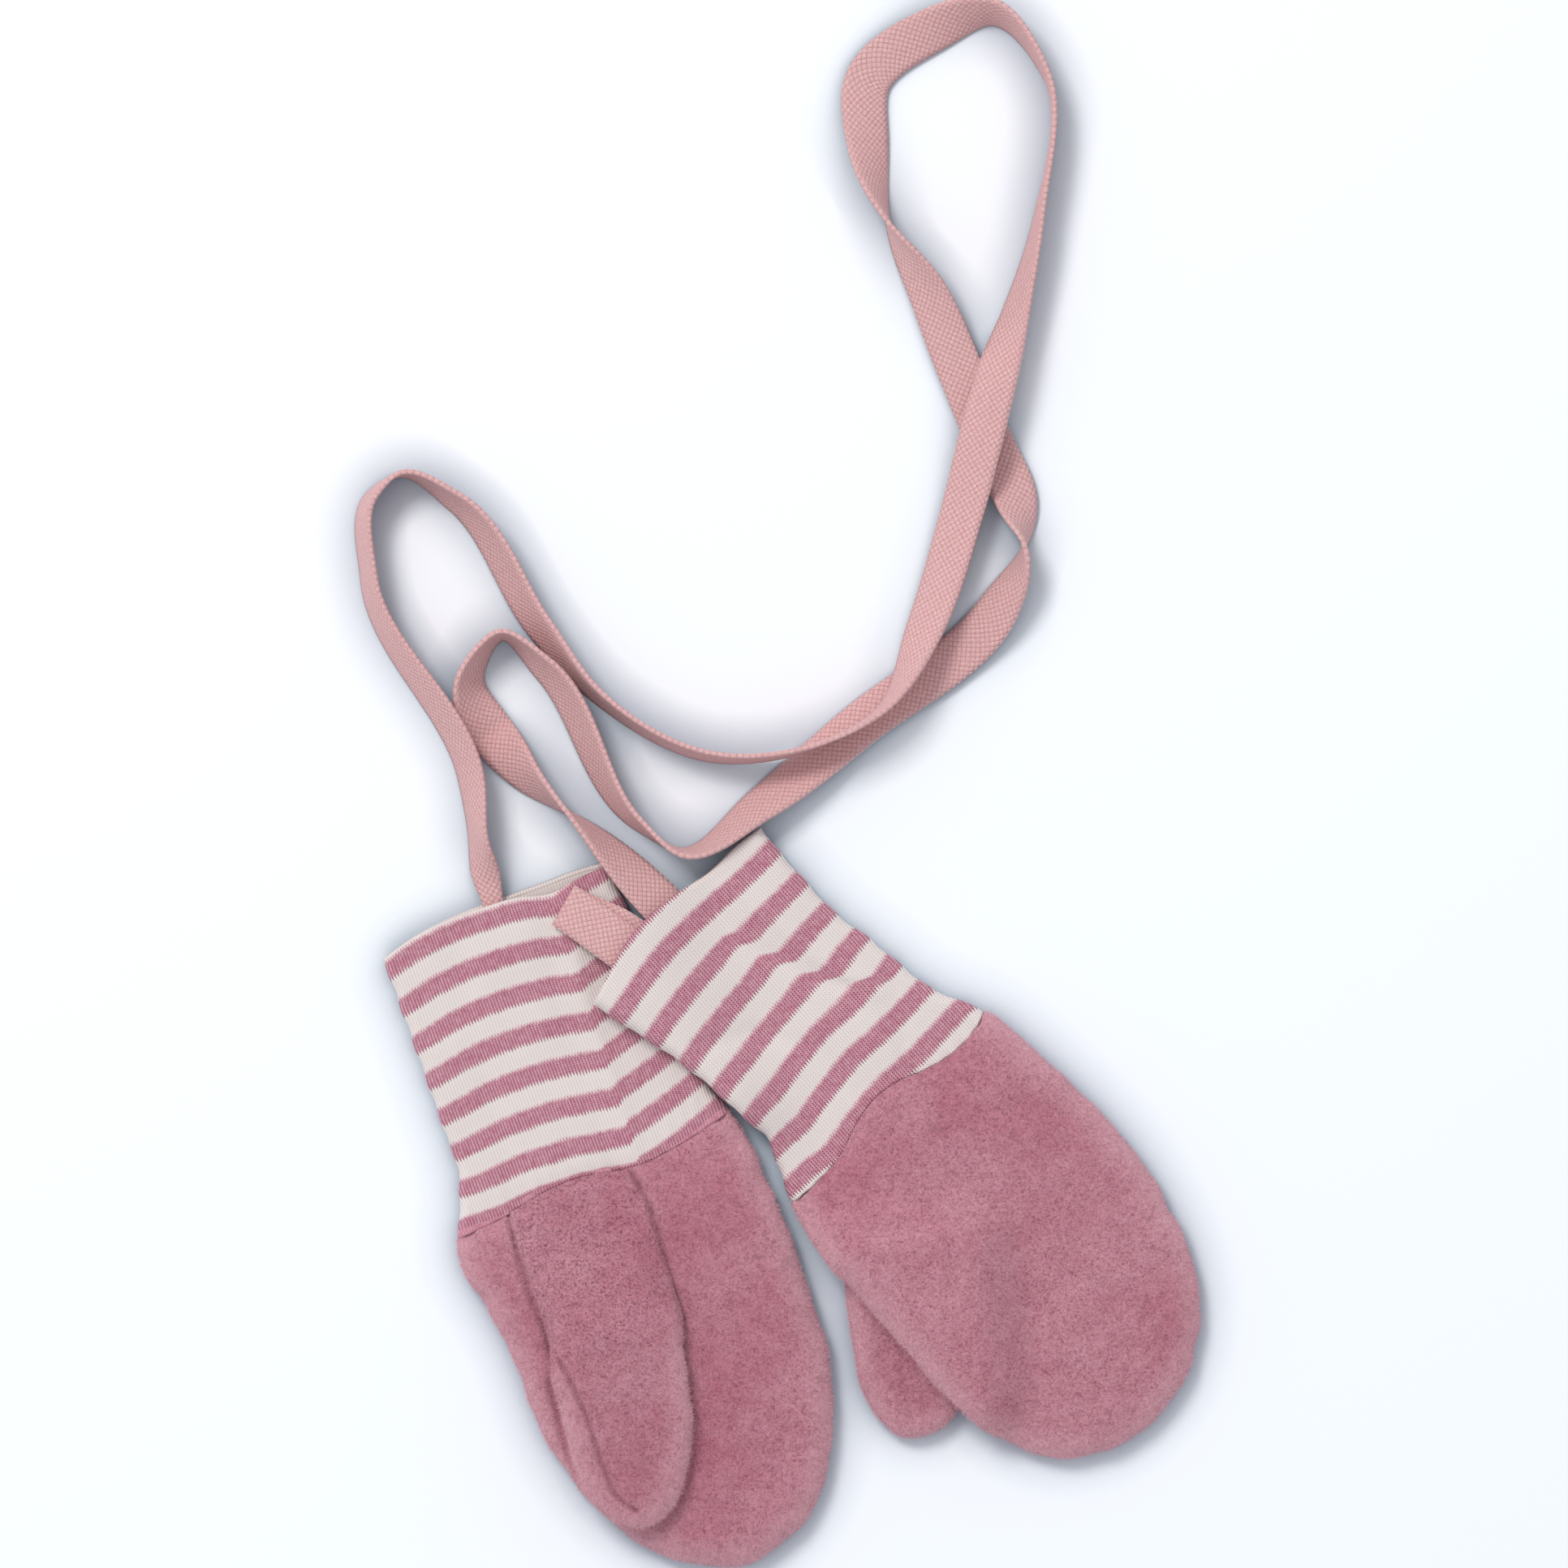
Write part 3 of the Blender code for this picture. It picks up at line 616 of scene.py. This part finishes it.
# The tape from cuff to cuff: tilt turns its section about its line, 90 stands it on an edge
tapeRoute = columnsOf(
    "x y tilt rest width",
    (-70.6, 60.5, 180, 2.3, 5.0),
    (-72.3, 70.6, 176, 2.2, 5.0),
    (-75.1, 81.3, 120, 0.1, 10.5),
    (-77.6, 100.4, 123, 0.1, 11.0),
    (-102.0, 147.8, 110, 0.1, 11.0),
    (-101.4, 167.3, 104, 0.1, 11.0),
    (-94.5, 172.6, 89, 0.1, 11.0),
    (-81.1, 166.1, 68, 0.1, 11.0),
    (-60.5, 135.5, 58, 0.1, 11.0),
    (-47.8, 120.3, 75, 0.1, 11.0),
    (-19.1, 104.9, 81, 0.1, 11.0),
    (4.7, 107.4, 88, 3.2, 11.0),
    (21.1, 116.4, 98, 3.6, 11.0),
    (31.2, 135.3, 138, 1.6, 11.0),
    (40.2, 163.0, 154, 2.0, 11.0),
    (45.6, 184.5, 158, 4.4, 11.0),
    (48.7, 196.5, 150, 4.4, 11.0),
    (53.0, 211.0, 122, 1.0, 11.0),
    (58.5, 234.0, 98, 0.1, 11.0),
    (60.4, 268.1, 93, 0.1, 11.0),
    (47.6, 283.1, 116, 0.1, 11.0),
    (32.6, 278.9, 158, 0.1, 11.0),
    (17.7, 267.0, 172, 0.1, 11.0),
    (17.7, 252.5, 152, 0.1, 11.0),
    (22.2, 234.0, 95, 0.1, 11.0),
    (32.6, 215.3, 38, 0.1, 11.0),
    (39.0, 200.0, 16, 0.1, 11.0),
    (46.0, 182.9, 9, 0.1, 11.0),
    (53.4, 166.1, -26, 0.1, 11.0),
    (55.2, 156.0, -85, 0.1, 11.0),
    (49.1, 140.4, -150, 0.1, 11.0),
    (15.4, 112.1, -162, 0.1, 11.0),
    (-7.8, 93.6, -134, 0.1, 11.0),
    (-26.9, 82.1, -97, 0.1, 11.0),
    (-37.2, 88.9, -77, 0.1, 11.0),
    (-59.7, 126.0, -62, 0.1, 11.0),
    (-70.2, 134.2, -81, 0.1, 11.0),
    (-77.6, 124.0, -60, 0.1, 11.0),
    (-66.3, 102.8, 38, 0.1, 11.0),
    (-48.8, 87.0, 108, 0.1, 11.0),
    (-31.2, 69.0, 159, 4.2, 11.0),
    (-22.6, 60.2, 162, 3.6, 11.0),
)
tapeCloth = {
    "rows": 760,
    "across": 9,
    "thick": 1.1,
    "cup": 0.28,
    "lowest": 0.1,
    "flatRise": 0.6,
    "pathStep": 6,
}


def bandSheet(name, centre, half, cup):
    # a band along centre; half is the vector from its middle to its edge at each row
    run = np.gradient(centre, axis=0)
    run /= np.linalg.norm(run, axis=1)[:, None]
    face = np.cross(run, half)
    face /= np.linalg.norm(face, axis=1)[:, None]
    q = np.linspace(-1, 1, tapeCloth["across"])
    rise = cup * (q**2 - 0.3)
    points = centre[:, None] + half[:, None] * q[None, :, None] + face[:, None] * rise[None, :, None]
    step = np.linalg.norm(np.diff(centre, axis=0), axis=1)
    way = np.r_[0, np.cumsum(step)]
    width = np.linalg.norm(half, axis=1)
    cut = np.stack([np.repeat(way[:, None], len(q), 1), width[:, None] * q[None, :]], axis=2)
    return sheetFrom(name, points, cut), way[-1]


def makeTape():
    way = np.r_[0, np.cumsum(np.hypot(np.diff(tapeRoute["x"]), np.diff(tapeRoute["y"])))]
    at = np.linspace(0, way[-1], tapeCloth["rows"])
    x, y, tilt, rest, width = (readCurve(way, tapeRoute[key], at) for key in tapeRoute)
    run = np.stack([np.gradient(x), np.gradient(y)], axis=1)
    run /= np.linalg.norm(run, axis=1)[:, None]
    turn = np.radians(tilt)
    flat, up = np.cos(turn) * width / 2, np.sin(turn) * width / 2
    half = np.stack([-run[:, 1] * flat, run[:, 0] * flat, up], axis=1)
    z = np.maximum(rest, tapeCloth["lowest"]) + np.abs(up) + tapeCloth["flatRise"] * np.abs(np.cos(turn))
    centre = np.stack([x, y, z], axis=1)
    mesh, length = bandSheet("tape_band", centre, half, tapeCloth["cup"])
    piece = addPiece("tape_band", mesh, braid, tapeCloth["thick"], 0.0)
    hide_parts("tape")
    print("tape is", round(length), "mm long")


makeTape()

# The loop's line from inside the right cuff, out over the left one and back under itself
loopRoute = columnsOf(
    "x y height",
    (-36.6, 56.0, 10.35),
    (-40.6, 59.0, 10.3),
    (-48.0, 64.4, 9.2),
    (-53.4, 68.2, 8.1),
    (-54.9, 69.2, 7.5),
    (-53.4, 68.3, 6.95),
    (-47.2, 65.4, 7.9),
    (-42.3, 63.2, 8.9),
    (-39.1, 61.2, 9.2),
    (-36.2, 59.2, 9.3),
)
loopCloth = {"rows": 90, "heading": (53.5, 67.0), "half": 5.5, "cup": 0.05, "thick": 0.75}


def makeLoop():
    step = np.sqrt(sum(np.diff(loopRoute[key]) ** 2 for key in loopRoute))
    way = np.r_[0, np.cumsum(step)]
    at = np.linspace(0, way[-1], loopCloth["rows"])
    x, y, z = (readCurve(way, loopRoute[key], at) for key in loopRoute)
    heading = np.radians(np.linspace(*loopCloth["heading"], len(at)))
    half = np.stack([np.cos(heading), np.sin(heading), 0 * heading], axis=1) * loopCloth["half"]
    mesh, length = bandSheet("loop_band", np.stack([x, y, z], axis=1), half, loopCloth["cup"])
    piece = addPiece("loop_band", mesh, braid, loopCloth["thick"], 0.0)
    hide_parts("tape_loop")


# Short fibres that stand on the fleece: most lean over, and they soften its outline
napCut = {
    "shortest": 0.45,
    "longest": 1.2,
    "longerAtRim": 0.2,
    "width": 0.085,
    "upright": 0.8,
    "sunk": 0.05,
}
# how far the painted sheen reaches in from the sewn edge, in mm
rimWidth = 8.5


def rimOf(edge):
    # the share of painted sheen: 1 at the sewn edge, where the colour is made paler as light on the
    # rounded edge, and 0 further in
    return 1 - fade(0, rimWidth, edge)


def addNap(name, points, rim, count, material):
    # each fibre is one triangle; there are so many that their corners are worked out as arrays
    rng = np.random.default_rng(len(name) * 7 + count)
    start = points[:-1, :-1].reshape(-1, 3)
    a = points[1:, :-1].reshape(-1, 3) - start
    b = points[:-1, 1:].reshape(-1, 3) - start
    normal = np.cross(a, b)
    area = np.linalg.norm(normal, axis=1)
    pick = rng.choice(len(area), count, p=area / area.sum())
    u, v = rng.random((2, count, 1))
    normal = normal[pick] / area[pick, None]
    root = start[pick] + a[pick] * u + b[pick] * v - napCut["sunk"] * normal
    lean = rng.normal(size=(count, 3))
    lean /= np.linalg.norm(lean, axis=1)[:, None]
    run = normal * napCut["upright"] + lean
    run /= np.linalg.norm(run, axis=1)[:, None]
    side = np.cross(run, rng.normal(size=(count, 3)))
    side *= napCut["width"] / 2 / np.linalg.norm(side, axis=1)[:, None]
    near = rim[:-1, :-1].ravel()[pick]
    length = rng.uniform(napCut["shortest"], napCut["longest"], (count, 1))
    length = length * (1 + napCut["longerAtRim"] * near[:, None])
    faced = np.sign((np.cross(side, run) * normal).sum(axis=1))[:, None]
    corners = np.stack([root - side * faced, root + side * faced, root + run * length], axis=1)
    placed = (corners.reshape(-1, 3) - middle) * mm
    faces = np.arange(3 * count).reshape(-1, 3)
    mesh = bpy.data.meshes.new(name)
    mesh.from_pydata(placed.tolist(), [], faces.tolist())
    # the fibres carry the painted sheen too, as an attribute
    mesh.attributes.new("rim", "FLOAT", "POINT").data.foreach_set("value", np.repeat(near, 3))
    addPiece(name, mesh, material)


# A hand is an upper and a lower panel that meet at a seam; True is the upper one
hands = {
    "seam": 3.5,
    "topRise": 4.1,
    "topReach": 7.2,
    "crown": 1.1,
    "crownReach": 26,
    "tuck": 2.0,
    "bottomRise": 3.5,
    "bottomReach": 3.6,
    "apart": 0.02,
    "wall": 1.5,
    "bodyRows": {True: 62, False: 36},
    "tipRows": {True: 61, False: 41},
    "columns": {True: 150, False: 60},
    "seamReach": 20,
    "wander": 0.55,
    "wanderSize": 8.0,
    "wanderReach": 9,
    "waves": ((0.3, 17.0, 1.3), (0.12, 6.0, 4.4)),  # height, size and seed
    "fibres": 105000,
}

# Lines that the photograph shows on the palm-up thumb, drawn in its pixels
gussetSeams = [
    lineOf([(628, 1496), (650, 1582), (668, 1627), (684, 1668), (702, 1691)]),
    lineOf([(781, 1446), (804, 1491), (819, 1540), (834, 1597), (838, 1625)]),
]
thumbSeam = lineOf(
    [(690, 1672), (702, 1691), (725, 1740), (742, 1792), (756, 1830), (770, 1847), (784, 1855)]
)


def wandered(x, y, edge):
    # the sewn edge wanders a little to and fro, as soft cloth does
    near = hands["wander"] * (1 - fade(0, hands["wanderReach"], edge))
    size = hands["wanderSize"]
    return x + near * softNoise(x, y, size, 3.1), y + near * softNoise(x, y, size, 8.7)


def handGrid(form, top):
    body = np.linspace(0, form["tip"]["start"], hands["bodyRows"][top])[:-1]
    stations = np.r_[body, tipStations(form, hands["tipRows"][top])]
    q = np.sin(np.linspace(-math.pi / 2, math.pi / 2, hands["columns"][top]))
    nominal = np.repeat(stations[:, None], len(q), 1)
    s = nominal.copy()
    for _ in range(4):
        left, right = sideLines(form, s)
        t = (left + right) / 2 + q[None, :] * (right - left) / 2
        s = nominal + seamLine(form, t) * (1 - fade(0, hands["seamReach"], nominal))
    return s, t


def handTop(form, s, t, edge):
    # the upper panel is rounded to its edge, crowned, and tucked in at the cuff's seam
    height = hands["topRise"] * roundOver(edge, hands["topReach"])
    height = height + hands["crown"] * roundOver(edge, hands["crownReach"])
    past = s - seamLine(form, t)
    tuck = (1.0 - 0.55 * fade(0, 3.0, past) - 0.45 * fade(2, 14, past)) * hands["tuck"]
    return hands["seam"] + height - tuck * fade(1.0, 4.1, height)


def handPanel(name, form, node, top, dent=None):
    s, t = handGrid(form, top)
    edge = edgeDistance(form, s, t)
    x, y = toWorld(form, s, t)
    if top:
        wave = sum(height * softNoise(x, y, size, seed) for height, size, seed in hands["waves"])
        z = handTop(form, s, t, edge) + wave * fade(0, 6, edge) + hands["apart"]
    else:
        z = hands["seam"] - hands["apart"] - hands["bottomRise"] * roundOver(edge, hands["bottomReach"])
        z = np.maximum(z, 0.0)
    z = z + lift(form, s, t)
    if dent:
        z = z - dent(s, t, x, y)
    x, y = wandered(x, y, edge)
    points = np.stack([x, y, z], axis=2)
    mesh = sheetFrom(name, points, np.stack([t, s], axis=2), not top, rimOf(edge))
    piece = addPiece(name, mesh, fleece, hands["wall"])
    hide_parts(node)
    if top:
        addNap(name + "_nap", points, rimOf(edge), hands["fibres"], nap)


# Where the palm goes down: a pair is a depth and a width, or where along the thumb it starts or ends
dents = {
    "seam": (1.7, 0.8),
    "seamEnd": (36, 44),
    "under": 1.6,
    "underEdge": (-1.5, 0.2),
    "underEnd": (48, 60),
    "beside": (2.0, 1.3),
    "besideOff": 0.4,
    "besideStart": (37, 46),
    "besideEnd": (66, 76),
}


def palmDent(s, t, x, y):
    # along the gusset's seams, under the gusset between them, and along the left side of the thumb
    distance = outside(topThumb, s, t)
    fromSeams = np.minimum(*[lineDistance(line, x, y) for line in gussetSeams])
    groove = ridge(fromSeams, *dents["seam"]) * (1 - fade(*dents["seamEnd"], s))
    under = dents["under"] * (1 - fade(*dents["underEdge"], distance)) * (1 - fade(*dents["underEnd"], s))
    beside = ridge(distance - dents["besideOff"], *dents["beside"])
    beside = beside * fade(*dents["besideStart"], s) * (1 - fade(*dents["besideEnd"], s)) * (t < -8)
    return np.maximum(groove, np.maximum(under, beside))


thumbs = {
    "base": 8.0,
    "height": 6.2,
    "reach": 4.0,
    "crown": 0.3,
    "crownReach": 12,
    "halfRows": (30, 41, 56),  # along the body, along the tip, and across
    "fibres": 46000,
}
# The palm-up thumb's front with its gusset; a seam is a depth and a width
gusset = {
    "rows": (84, 49, 84),
    "proud": 0.25,
    "crown": 0.8,
    "crownReach": 14,
    "innerRise": (10, 38),
    "edgeRise": (25, 39),
    "loose": (34, 42),
    "sideSeam": (1.7, 0.8),
    "thumbSeam": (1.4, 0.75),
    "thumbSeamStart": (33, 40),
    "dark": 0.7,
    "darkEnd": (28, 52),
}


def thumbGrid(form, first, bodyRows, tipRows, columns):
    body = np.linspace(first, form["tip"]["start"], bodyRows)[:-1]
    stations = np.r_[body, tipStations(form, tipRows)]
    q = np.sin(np.linspace(-math.pi / 2, math.pi / 2, columns))
    s = np.repeat(stations[:, None], len(q), 1)
    left, right = sideLines(form, s)
    return s, (left + right) / 2 + q[None, :] * (right - left) / 2


def gussetThumb():
    # it lies flush in the palm at the wrist, and rises from there to the loose thumb
    s, t = thumbGrid(topThumb, 0.0, *gusset["rows"])
    s = s + seamLine(palmUp, t) * (1 - fade(0, hands["seamReach"], s))
    edge = edgeDistance(topThumb, s, t)
    x, y = toWorld(palmUp, s, t)
    flush = handTop(palmUp, s, t, edgeDistance(palmUp, s, t)) + gusset["proud"]
    centre = thumbs["base"] + thumbs["height"] / 2
    raised = centre + thumbs["height"] / 2 * roundOver(edge, thumbs["reach"])
    raised = raised + gusset["crown"] * roundOver(edge, gusset["crownReach"])
    inner = fade(0, 8, edge)
    up = inner * fade(*gusset["innerRise"], s) + (1 - inner) * fade(*gusset["edgeRise"], s)
    loose = fade(*gusset["loose"], s)
    sides = ridge(edge, *gusset["sideSeam"]) * (1 - loose)
    fromSeam = lineDistance(thumbSeam, x, y)
    seam = ridge(fromSeam, *gusset["thumbSeam"]) * fade(*gusset["thumbSeamStart"], s)
    wave = 0.25 * softNoise(x, y, 9.0, 2.2) * fade(0, 4, edge)
    z = flush + up * (raised - flush) - sides - seam + wave
    x, y = wandered(x, y, edge)
    points = np.stack([x, y, z], axis=2)
    # below zero the pile is darker, as the photograph shows the gusset
    # above zero it is the painted sheen along the loose thumb's sewn edge
    rim = rimOf(edge) * loose - gusset["dark"] * (1 - fade(*gusset["darkEnd"], s))
    mesh = sheetFrom("left_thumb_front", points, np.stack([t, s], axis=2), False, rim)
    addNap("left_thumb_nap", points, rim, thumbs["fibres"], thumbNap)
    piece = addPiece("left_thumb_front", mesh, thumbFleece, hands["wall"])
    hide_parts("palm_up_thumb_front")


def thumbHalf(name, form, node, base, first, top):
    s, t = thumbGrid(form, first, *thumbs["halfRows"])
    edge = edgeDistance(form, s, t)
    x, y = toWorld(form, s, t)
    height = thumbs["height"] / 2 * roundOver(edge, thumbs["reach"])
    if top:
        wave = 0.2 * softNoise(x, y, 8.0, 5.0) * fade(0, 4, edge)
        height = height + thumbs["crown"] * roundOver(edge, thumbs["crownReach"]) + wave
    height = hands["apart"] + height
    z = base + thumbs["height"] / 2 + (height if top else -height)
    x, y = wandered(x, y, edge)
    points = np.stack([x, y, z], axis=2)
    mesh = sheetFrom(name, points, np.stack([t, s], axis=2), not top, rimOf(edge))
    piece = addPiece(name, mesh, fleece, hands["wall"])
    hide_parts(node)
    if top:
        addNap(name + "_nap", points, rimOf(edge), thumbs["fibres"] // 2, nap)


cuffs = {
    "length": 70,
    "height": 6.0,
    "reach": 3.0,
    "wall": 1.4,
    "rows": 130,
    "top": 96,
    "bottom": 44,
    "wale": 0.74,
    "lip": 0.55,
    "lipReach": 1.1,
    "pleat": 0.28,
    "pleatWidth": 4.3,
    "pleatReach": 5.0,
    "uneven": 0.22,
    "unevenSize": 11.0,
    "stripeRelief": 0.06,
    "stripeSwell": 0.22,
}

# The left cuff's stripes, by their share of its length
leftStripes = {
    "start": 0.022,
    "pitch": 0.1405,
    "most": 7.30,
    "atSeam": 0.11,
    "crease": 13.5,
    "creaseDrift": 4.0,
    "step": (0.03, 0.13),
    "slant": 0.15,
    "slantWidth": 9.69,
    "side": 0.45,
    "sideStart": 9,
    "sideWidth": 24,
}
# The right cuff's stripes, in mm along it
rightStripes = {
    "start": 66.5,
    "pitch": 9.92,
    "bendWay": (66, 50),
    "pull": 1.2,
    "pullSlope": 0.88,
    "pullEdge": 0.9,
    "pullWidth": 5.5,
    "pullStart": (-60, -54),
    "pullEnd": (-27, -20),
    "corner": 3.5,
    "cornerRise": (-26, 2),
    "cornerStart": 16,
    "cornerWidth": 14,
}
# How far the right cuff's stripes lie off straight, at its mouth and at its seam
stripeBend = columnsOf(
    "across mouth seam",
    (-34.0, 4.6, 6.6),
    (-28.0, 3.4, 5.6),
    (-22.0, 2.0, 4.1),
    (-16.0, 0.9, 3.4),
    (-10.0, 0.2, 2.1),
    (-4.0, 0.0, 1.0),
    (2.0, 0.0, 0.0),
    (14.0, 0.1, -0.1),
    (20.0, -0.2, -0.5),
    (30.0, -1.0, -1.4),
)
# The line of a slanting pull, where they step
stripePull = columnsOf(
    "along across",
    (-60.0, 0.3),
    (-55.7, 1.8),
    (-42.8, 7.1),
    (-33.3, 11.8),
    (-25.0, 20.3),
    (-20.0, 24.0),
)
# Creases that the photograph shows: height, width and line
leftCreases = [
    (0.75, 2.4, lineOf([(704, 1090), (704, 1150), (722, 1240), (748, 1310), (772, 1375), (790, 1440)])),
    (-0.5, 3.0, lineOf([(670, 1110), (690, 1240), (735, 1370), (760, 1450)])),
    (-0.35, 2.5, lineOf([(560, 1150), (590, 1300), (640, 1480)])),
]
rightCreases = [
    (-0.6, 2.2, lineOf([(880, 1120), (930, 1165), (985, 1190), (1040, 1215)])),
    (0.55, 2.2, lineOf([(900, 1090), (960, 1140), (1010, 1180), (1075, 1225)])),
    (-0.5, 2.6, lineOf([(860, 1290), (930, 1270), (1000, 1290), (1060, 1340)])),
    (-0.4, 2.4, lineOf([(1100, 1200), (1110, 1260), (1120, 1325)])),
]


def stripesOf(form, s, t, share):
    # how many stripes, each a purple and a cream band, lie between the mouth and each point
    if form is palmUp:
        look = leftStripes
        # past a crease that runs lengthwise they step towards the mouth and slant more
        past = t - look["crease"] + look["creaseDrift"] * share
        step = (look["step"][0] + look["step"][1] * share) * fade(-0.6, 0.6, past)
        slant = look["slant"] * np.maximum(past, 0) / look["slantWidth"]
        side = look["side"] * np.clip((-t - look["sideStart"]) / look["sideWidth"], 0, 1) * share**2
        last = look["atSeam"] * fade(-2.6 - 0.05 * np.maximum(-t, 0), -0.6, s - seamLine(form, t))
        whole = (share - look["start"]) / look["pitch"] + step + side + slant + last
        return np.minimum(whole, look["most"])
    look = rightStripes
    atMouth = readCurve(stripeBend["across"], stripeBend["mouth"], t)
    atSeam = readCurve(stripeBend["across"], stripeBend["seam"], t)
    bend = atMouth + (atSeam - atMouth) * np.clip((s + look["bendWay"][0]) / look["bendWay"][1], 0, 1)
    # they step at the slanting pull, and straighten in a corner at the seam
    past = (t - readCurve(stripePull["along"], stripePull["across"], s)) * look["pullSlope"]
    pull = ridge(past, look["pull"], look["pullWidth"]) * np.tanh(past / look["pullEdge"])
    bend = bend + pull * fade(*look["pullStart"], s) * (1 - fade(*look["pullEnd"], s))
    inCorner = np.clip((-t - look["cornerStart"]) / look["cornerWidth"], 0, 1)
    bend = bend - look["corner"] * fade(*look["cornerRise"], s) * inCorner
    return (s + look["start"] - bend) / look["pitch"]


def cuffTube(name, form, node, mouthExtra, creases):
    # rows run from mouth to seam; way is 1 on the upper side, -1 on the under side and 0 at the sides
    qTop = np.sin(np.linspace(-math.pi / 2, math.pi / 2, cuffs["top"]))
    qBottom = np.sin(np.linspace(math.pi / 2, -math.pi / 2, cuffs["bottom"]))
    q = np.r_[qTop, qBottom[1:]]
    way = np.r_[np.ones(len(qTop)), -np.ones(len(qBottom) - 1)]
    way[0] = way[len(qTop) - 1] = way[-1] = 0
    row = np.linspace(0, 1, cuffs["rows"])[:, None]
    s = -cuffs["length"] * (1 - row) + 0 * q[None, :]
    for _ in range(4):
        left, right = sideLines(form, s)
        t = (left + right) / 2 + q[None, :] * (right - left) / 2
        mouthTop = readCurve(form["mouth"]["across"], form["mouth"]["top"], t)
        mouthBottom = readCurve(form["mouth"]["across"], form["mouth"]["bottom"], t)
        mouth = np.where(way[None, :] < 0, mouthBottom, mouthTop)
        s = mouth + row * (seamLine(form, t) - mouth)
    stripe = stripesOf(form, s, t, row + 0 * t)
    under = (way[None, :] < 0) * (1 - fade(3, 9, s - mouth))
    stripe = stripe * (1 - under) + under * (0.12 * (s - mouth) - 0.45)
    x, y = toWorld(form, s, t)
    height = cuffs["height"] + mouthExtra * (1 - fade(-66, -40, s))
    inside = np.minimum(t - left, right - t)
    lip = cuffs["lip"] * (1 - roundOver(s - mouth, cuffs["lipReach"]))
    half = np.maximum(height / 2 * roundOver(inside, cuffs["reach"]) - lip, 0)
    z = lift(form, s, t) + height / 2 + way[None, :] * half
    # creases, small pleats at the seam, and a little unevenness on the upper side
    onTop = (way[None, :] > 0) * fade(0, 5, inside)
    for depth, width, line in creases:
        z = z + onTop * ridge(lineDistance(line, x, y), depth, width)
    fromSeam = seamLine(form, t) - s
    pleats = np.sin(t * 2 * math.pi / cuffs["pleatWidth"] + 1.5 * softNoise(x, y, 9.0, 6.0))
    z = z + onTop * cuffs["pleat"] * pleats * np.exp(-fromSeam / cuffs["pleatReach"])
    uneven = cuffs["uneven"] * softNoise(x, y, cuffs["unevenSize"], 7.7)
    z = z + onTop * (uneven - cuffs["stripeRelief"] * np.cos(2 * math.pi * stripe))
    # the stripes swell a little at the sides
    swell = cuffs["stripeSwell"] * np.sin(2 * math.pi * stripe)
    swell = swell * (1 - fade(0, 4, inside)) * np.sign(q)[None, :]
    x, y = toWorld(form, s, t + swell)
    cut = np.stack([t / cuffs["wale"], stripe], axis=2)
    mesh = sheetFrom(name, np.stack([x, y, z], axis=2), cut)
    piece = addPiece(name, mesh, jersey, cuffs["wall"])
    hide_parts(node)


cuffTube("left_cuff", palmUp, "palm_up_cuff", 0.0, leftCreases)
cuffTube("right_cuff", backUp, "back_up_cuff", 0.9, rightCreases)
print("cuffs made")

handPanel("left_back", palmUp, "palm_up_back", False)
handPanel("left_palm", palmUp, "palm_up_palm", True, palmDent)
handPanel("right_back", backUp, "back_up_back", True)
handPanel("right_palm", backUp, "back_up_palm", False)
print("hands made")

gussetThumb()
thumbHalf("left_thumb_back", topThumb, "palm_up_thumb_back", thumbs["base"], 37.0, False)
thumbHalf("right_thumb_front", underThumb, "back_up_thumb_front", 0.0, 8.0, False)
thumbHalf("right_thumb_back", underThumb, "back_up_thumb_back", 0.0, 8.0, True)
makeLoop()
print("thumbs and loop made")

# Floor and light: soft, from the upper left, shadows to the lower right
floorLook = {
    "half": 1.5,
    "open": (0.90, 0.915, 0.95),
    # the painted contact shadow's colour, mixed in where cloth is close
    "paintedShadow": (0.25, 0.34, 0.42),
    "reach": 0.0115,
    "power": 1.6,
    "samples": 2,
}
light = {
    "key": 33.5,
    "keyColour": (1.0, 0.98, 0.955),
    "keyPlace": (-0.95, 1.35, 2.0),
    "keyAim": (0, 0.09, 0),
    "keySize": 0.8,
    "sky": 0.76,
    "skyColour": (0.90, 0.95, 1.0),
}


def makeFloor():
    # painted shadow: an ambient-occlusion node darkens the floor's colour to a soft blue-grey close to the
    # cloth
    bm = bmesh.new()
    bmesh.ops.create_grid(bm, x_segments=1, y_segments=1, size=floorLook["half"])
    mesh = bpy.data.meshes.new("floor")
    bm.to_mesh(mesh)
    bm.free()
    floor = bpy.data.objects.new("floor", mesh)
    material, tree, shader = newMaterial("pale floor", 0.9)
    near = tree.nodes.new("ShaderNodeAmbientOcclusion")
    near.samples = floorLook["samples"]
    near.inputs["Distance"].default_value = floorLook["reach"]
    openness = mathNode(tree, "POWER", near.outputs["AO"], floorLook["power"])
    colour = mixColour(tree, openness, floorLook["paintedShadow"], floorLook["open"])
    tree.links.new(colour, shader.inputs["Base Color"])
    mesh.materials.append(material)
    bpy.context.scene.collection.objects.link(floor)


def makeLight():
    lamp = bpy.data.lights.new("key", "AREA")
    lamp.energy = light["key"]
    lamp.color = light["keyColour"]
    lamp.size = light["keySize"]
    key = bpy.data.objects.new("key", lamp)
    key.location = light["keyPlace"]
    key.rotation_euler = (Vector(light["keyAim"]) - key.location).to_track_quat("-Z", "Y").to_euler()
    bpy.context.scene.collection.objects.link(key)
    world = bpy.data.worlds.new("studio")
    world.use_nodes = True
    sky = world.node_tree.nodes["Background"]
    sky.inputs["Color"].default_value = (*light["skyColour"], 1)
    sky.inputs["Strength"].default_value = light["sky"]
    bpy.context.scene.world = world


makeFloor()
makeLight()
print("floor and light made")
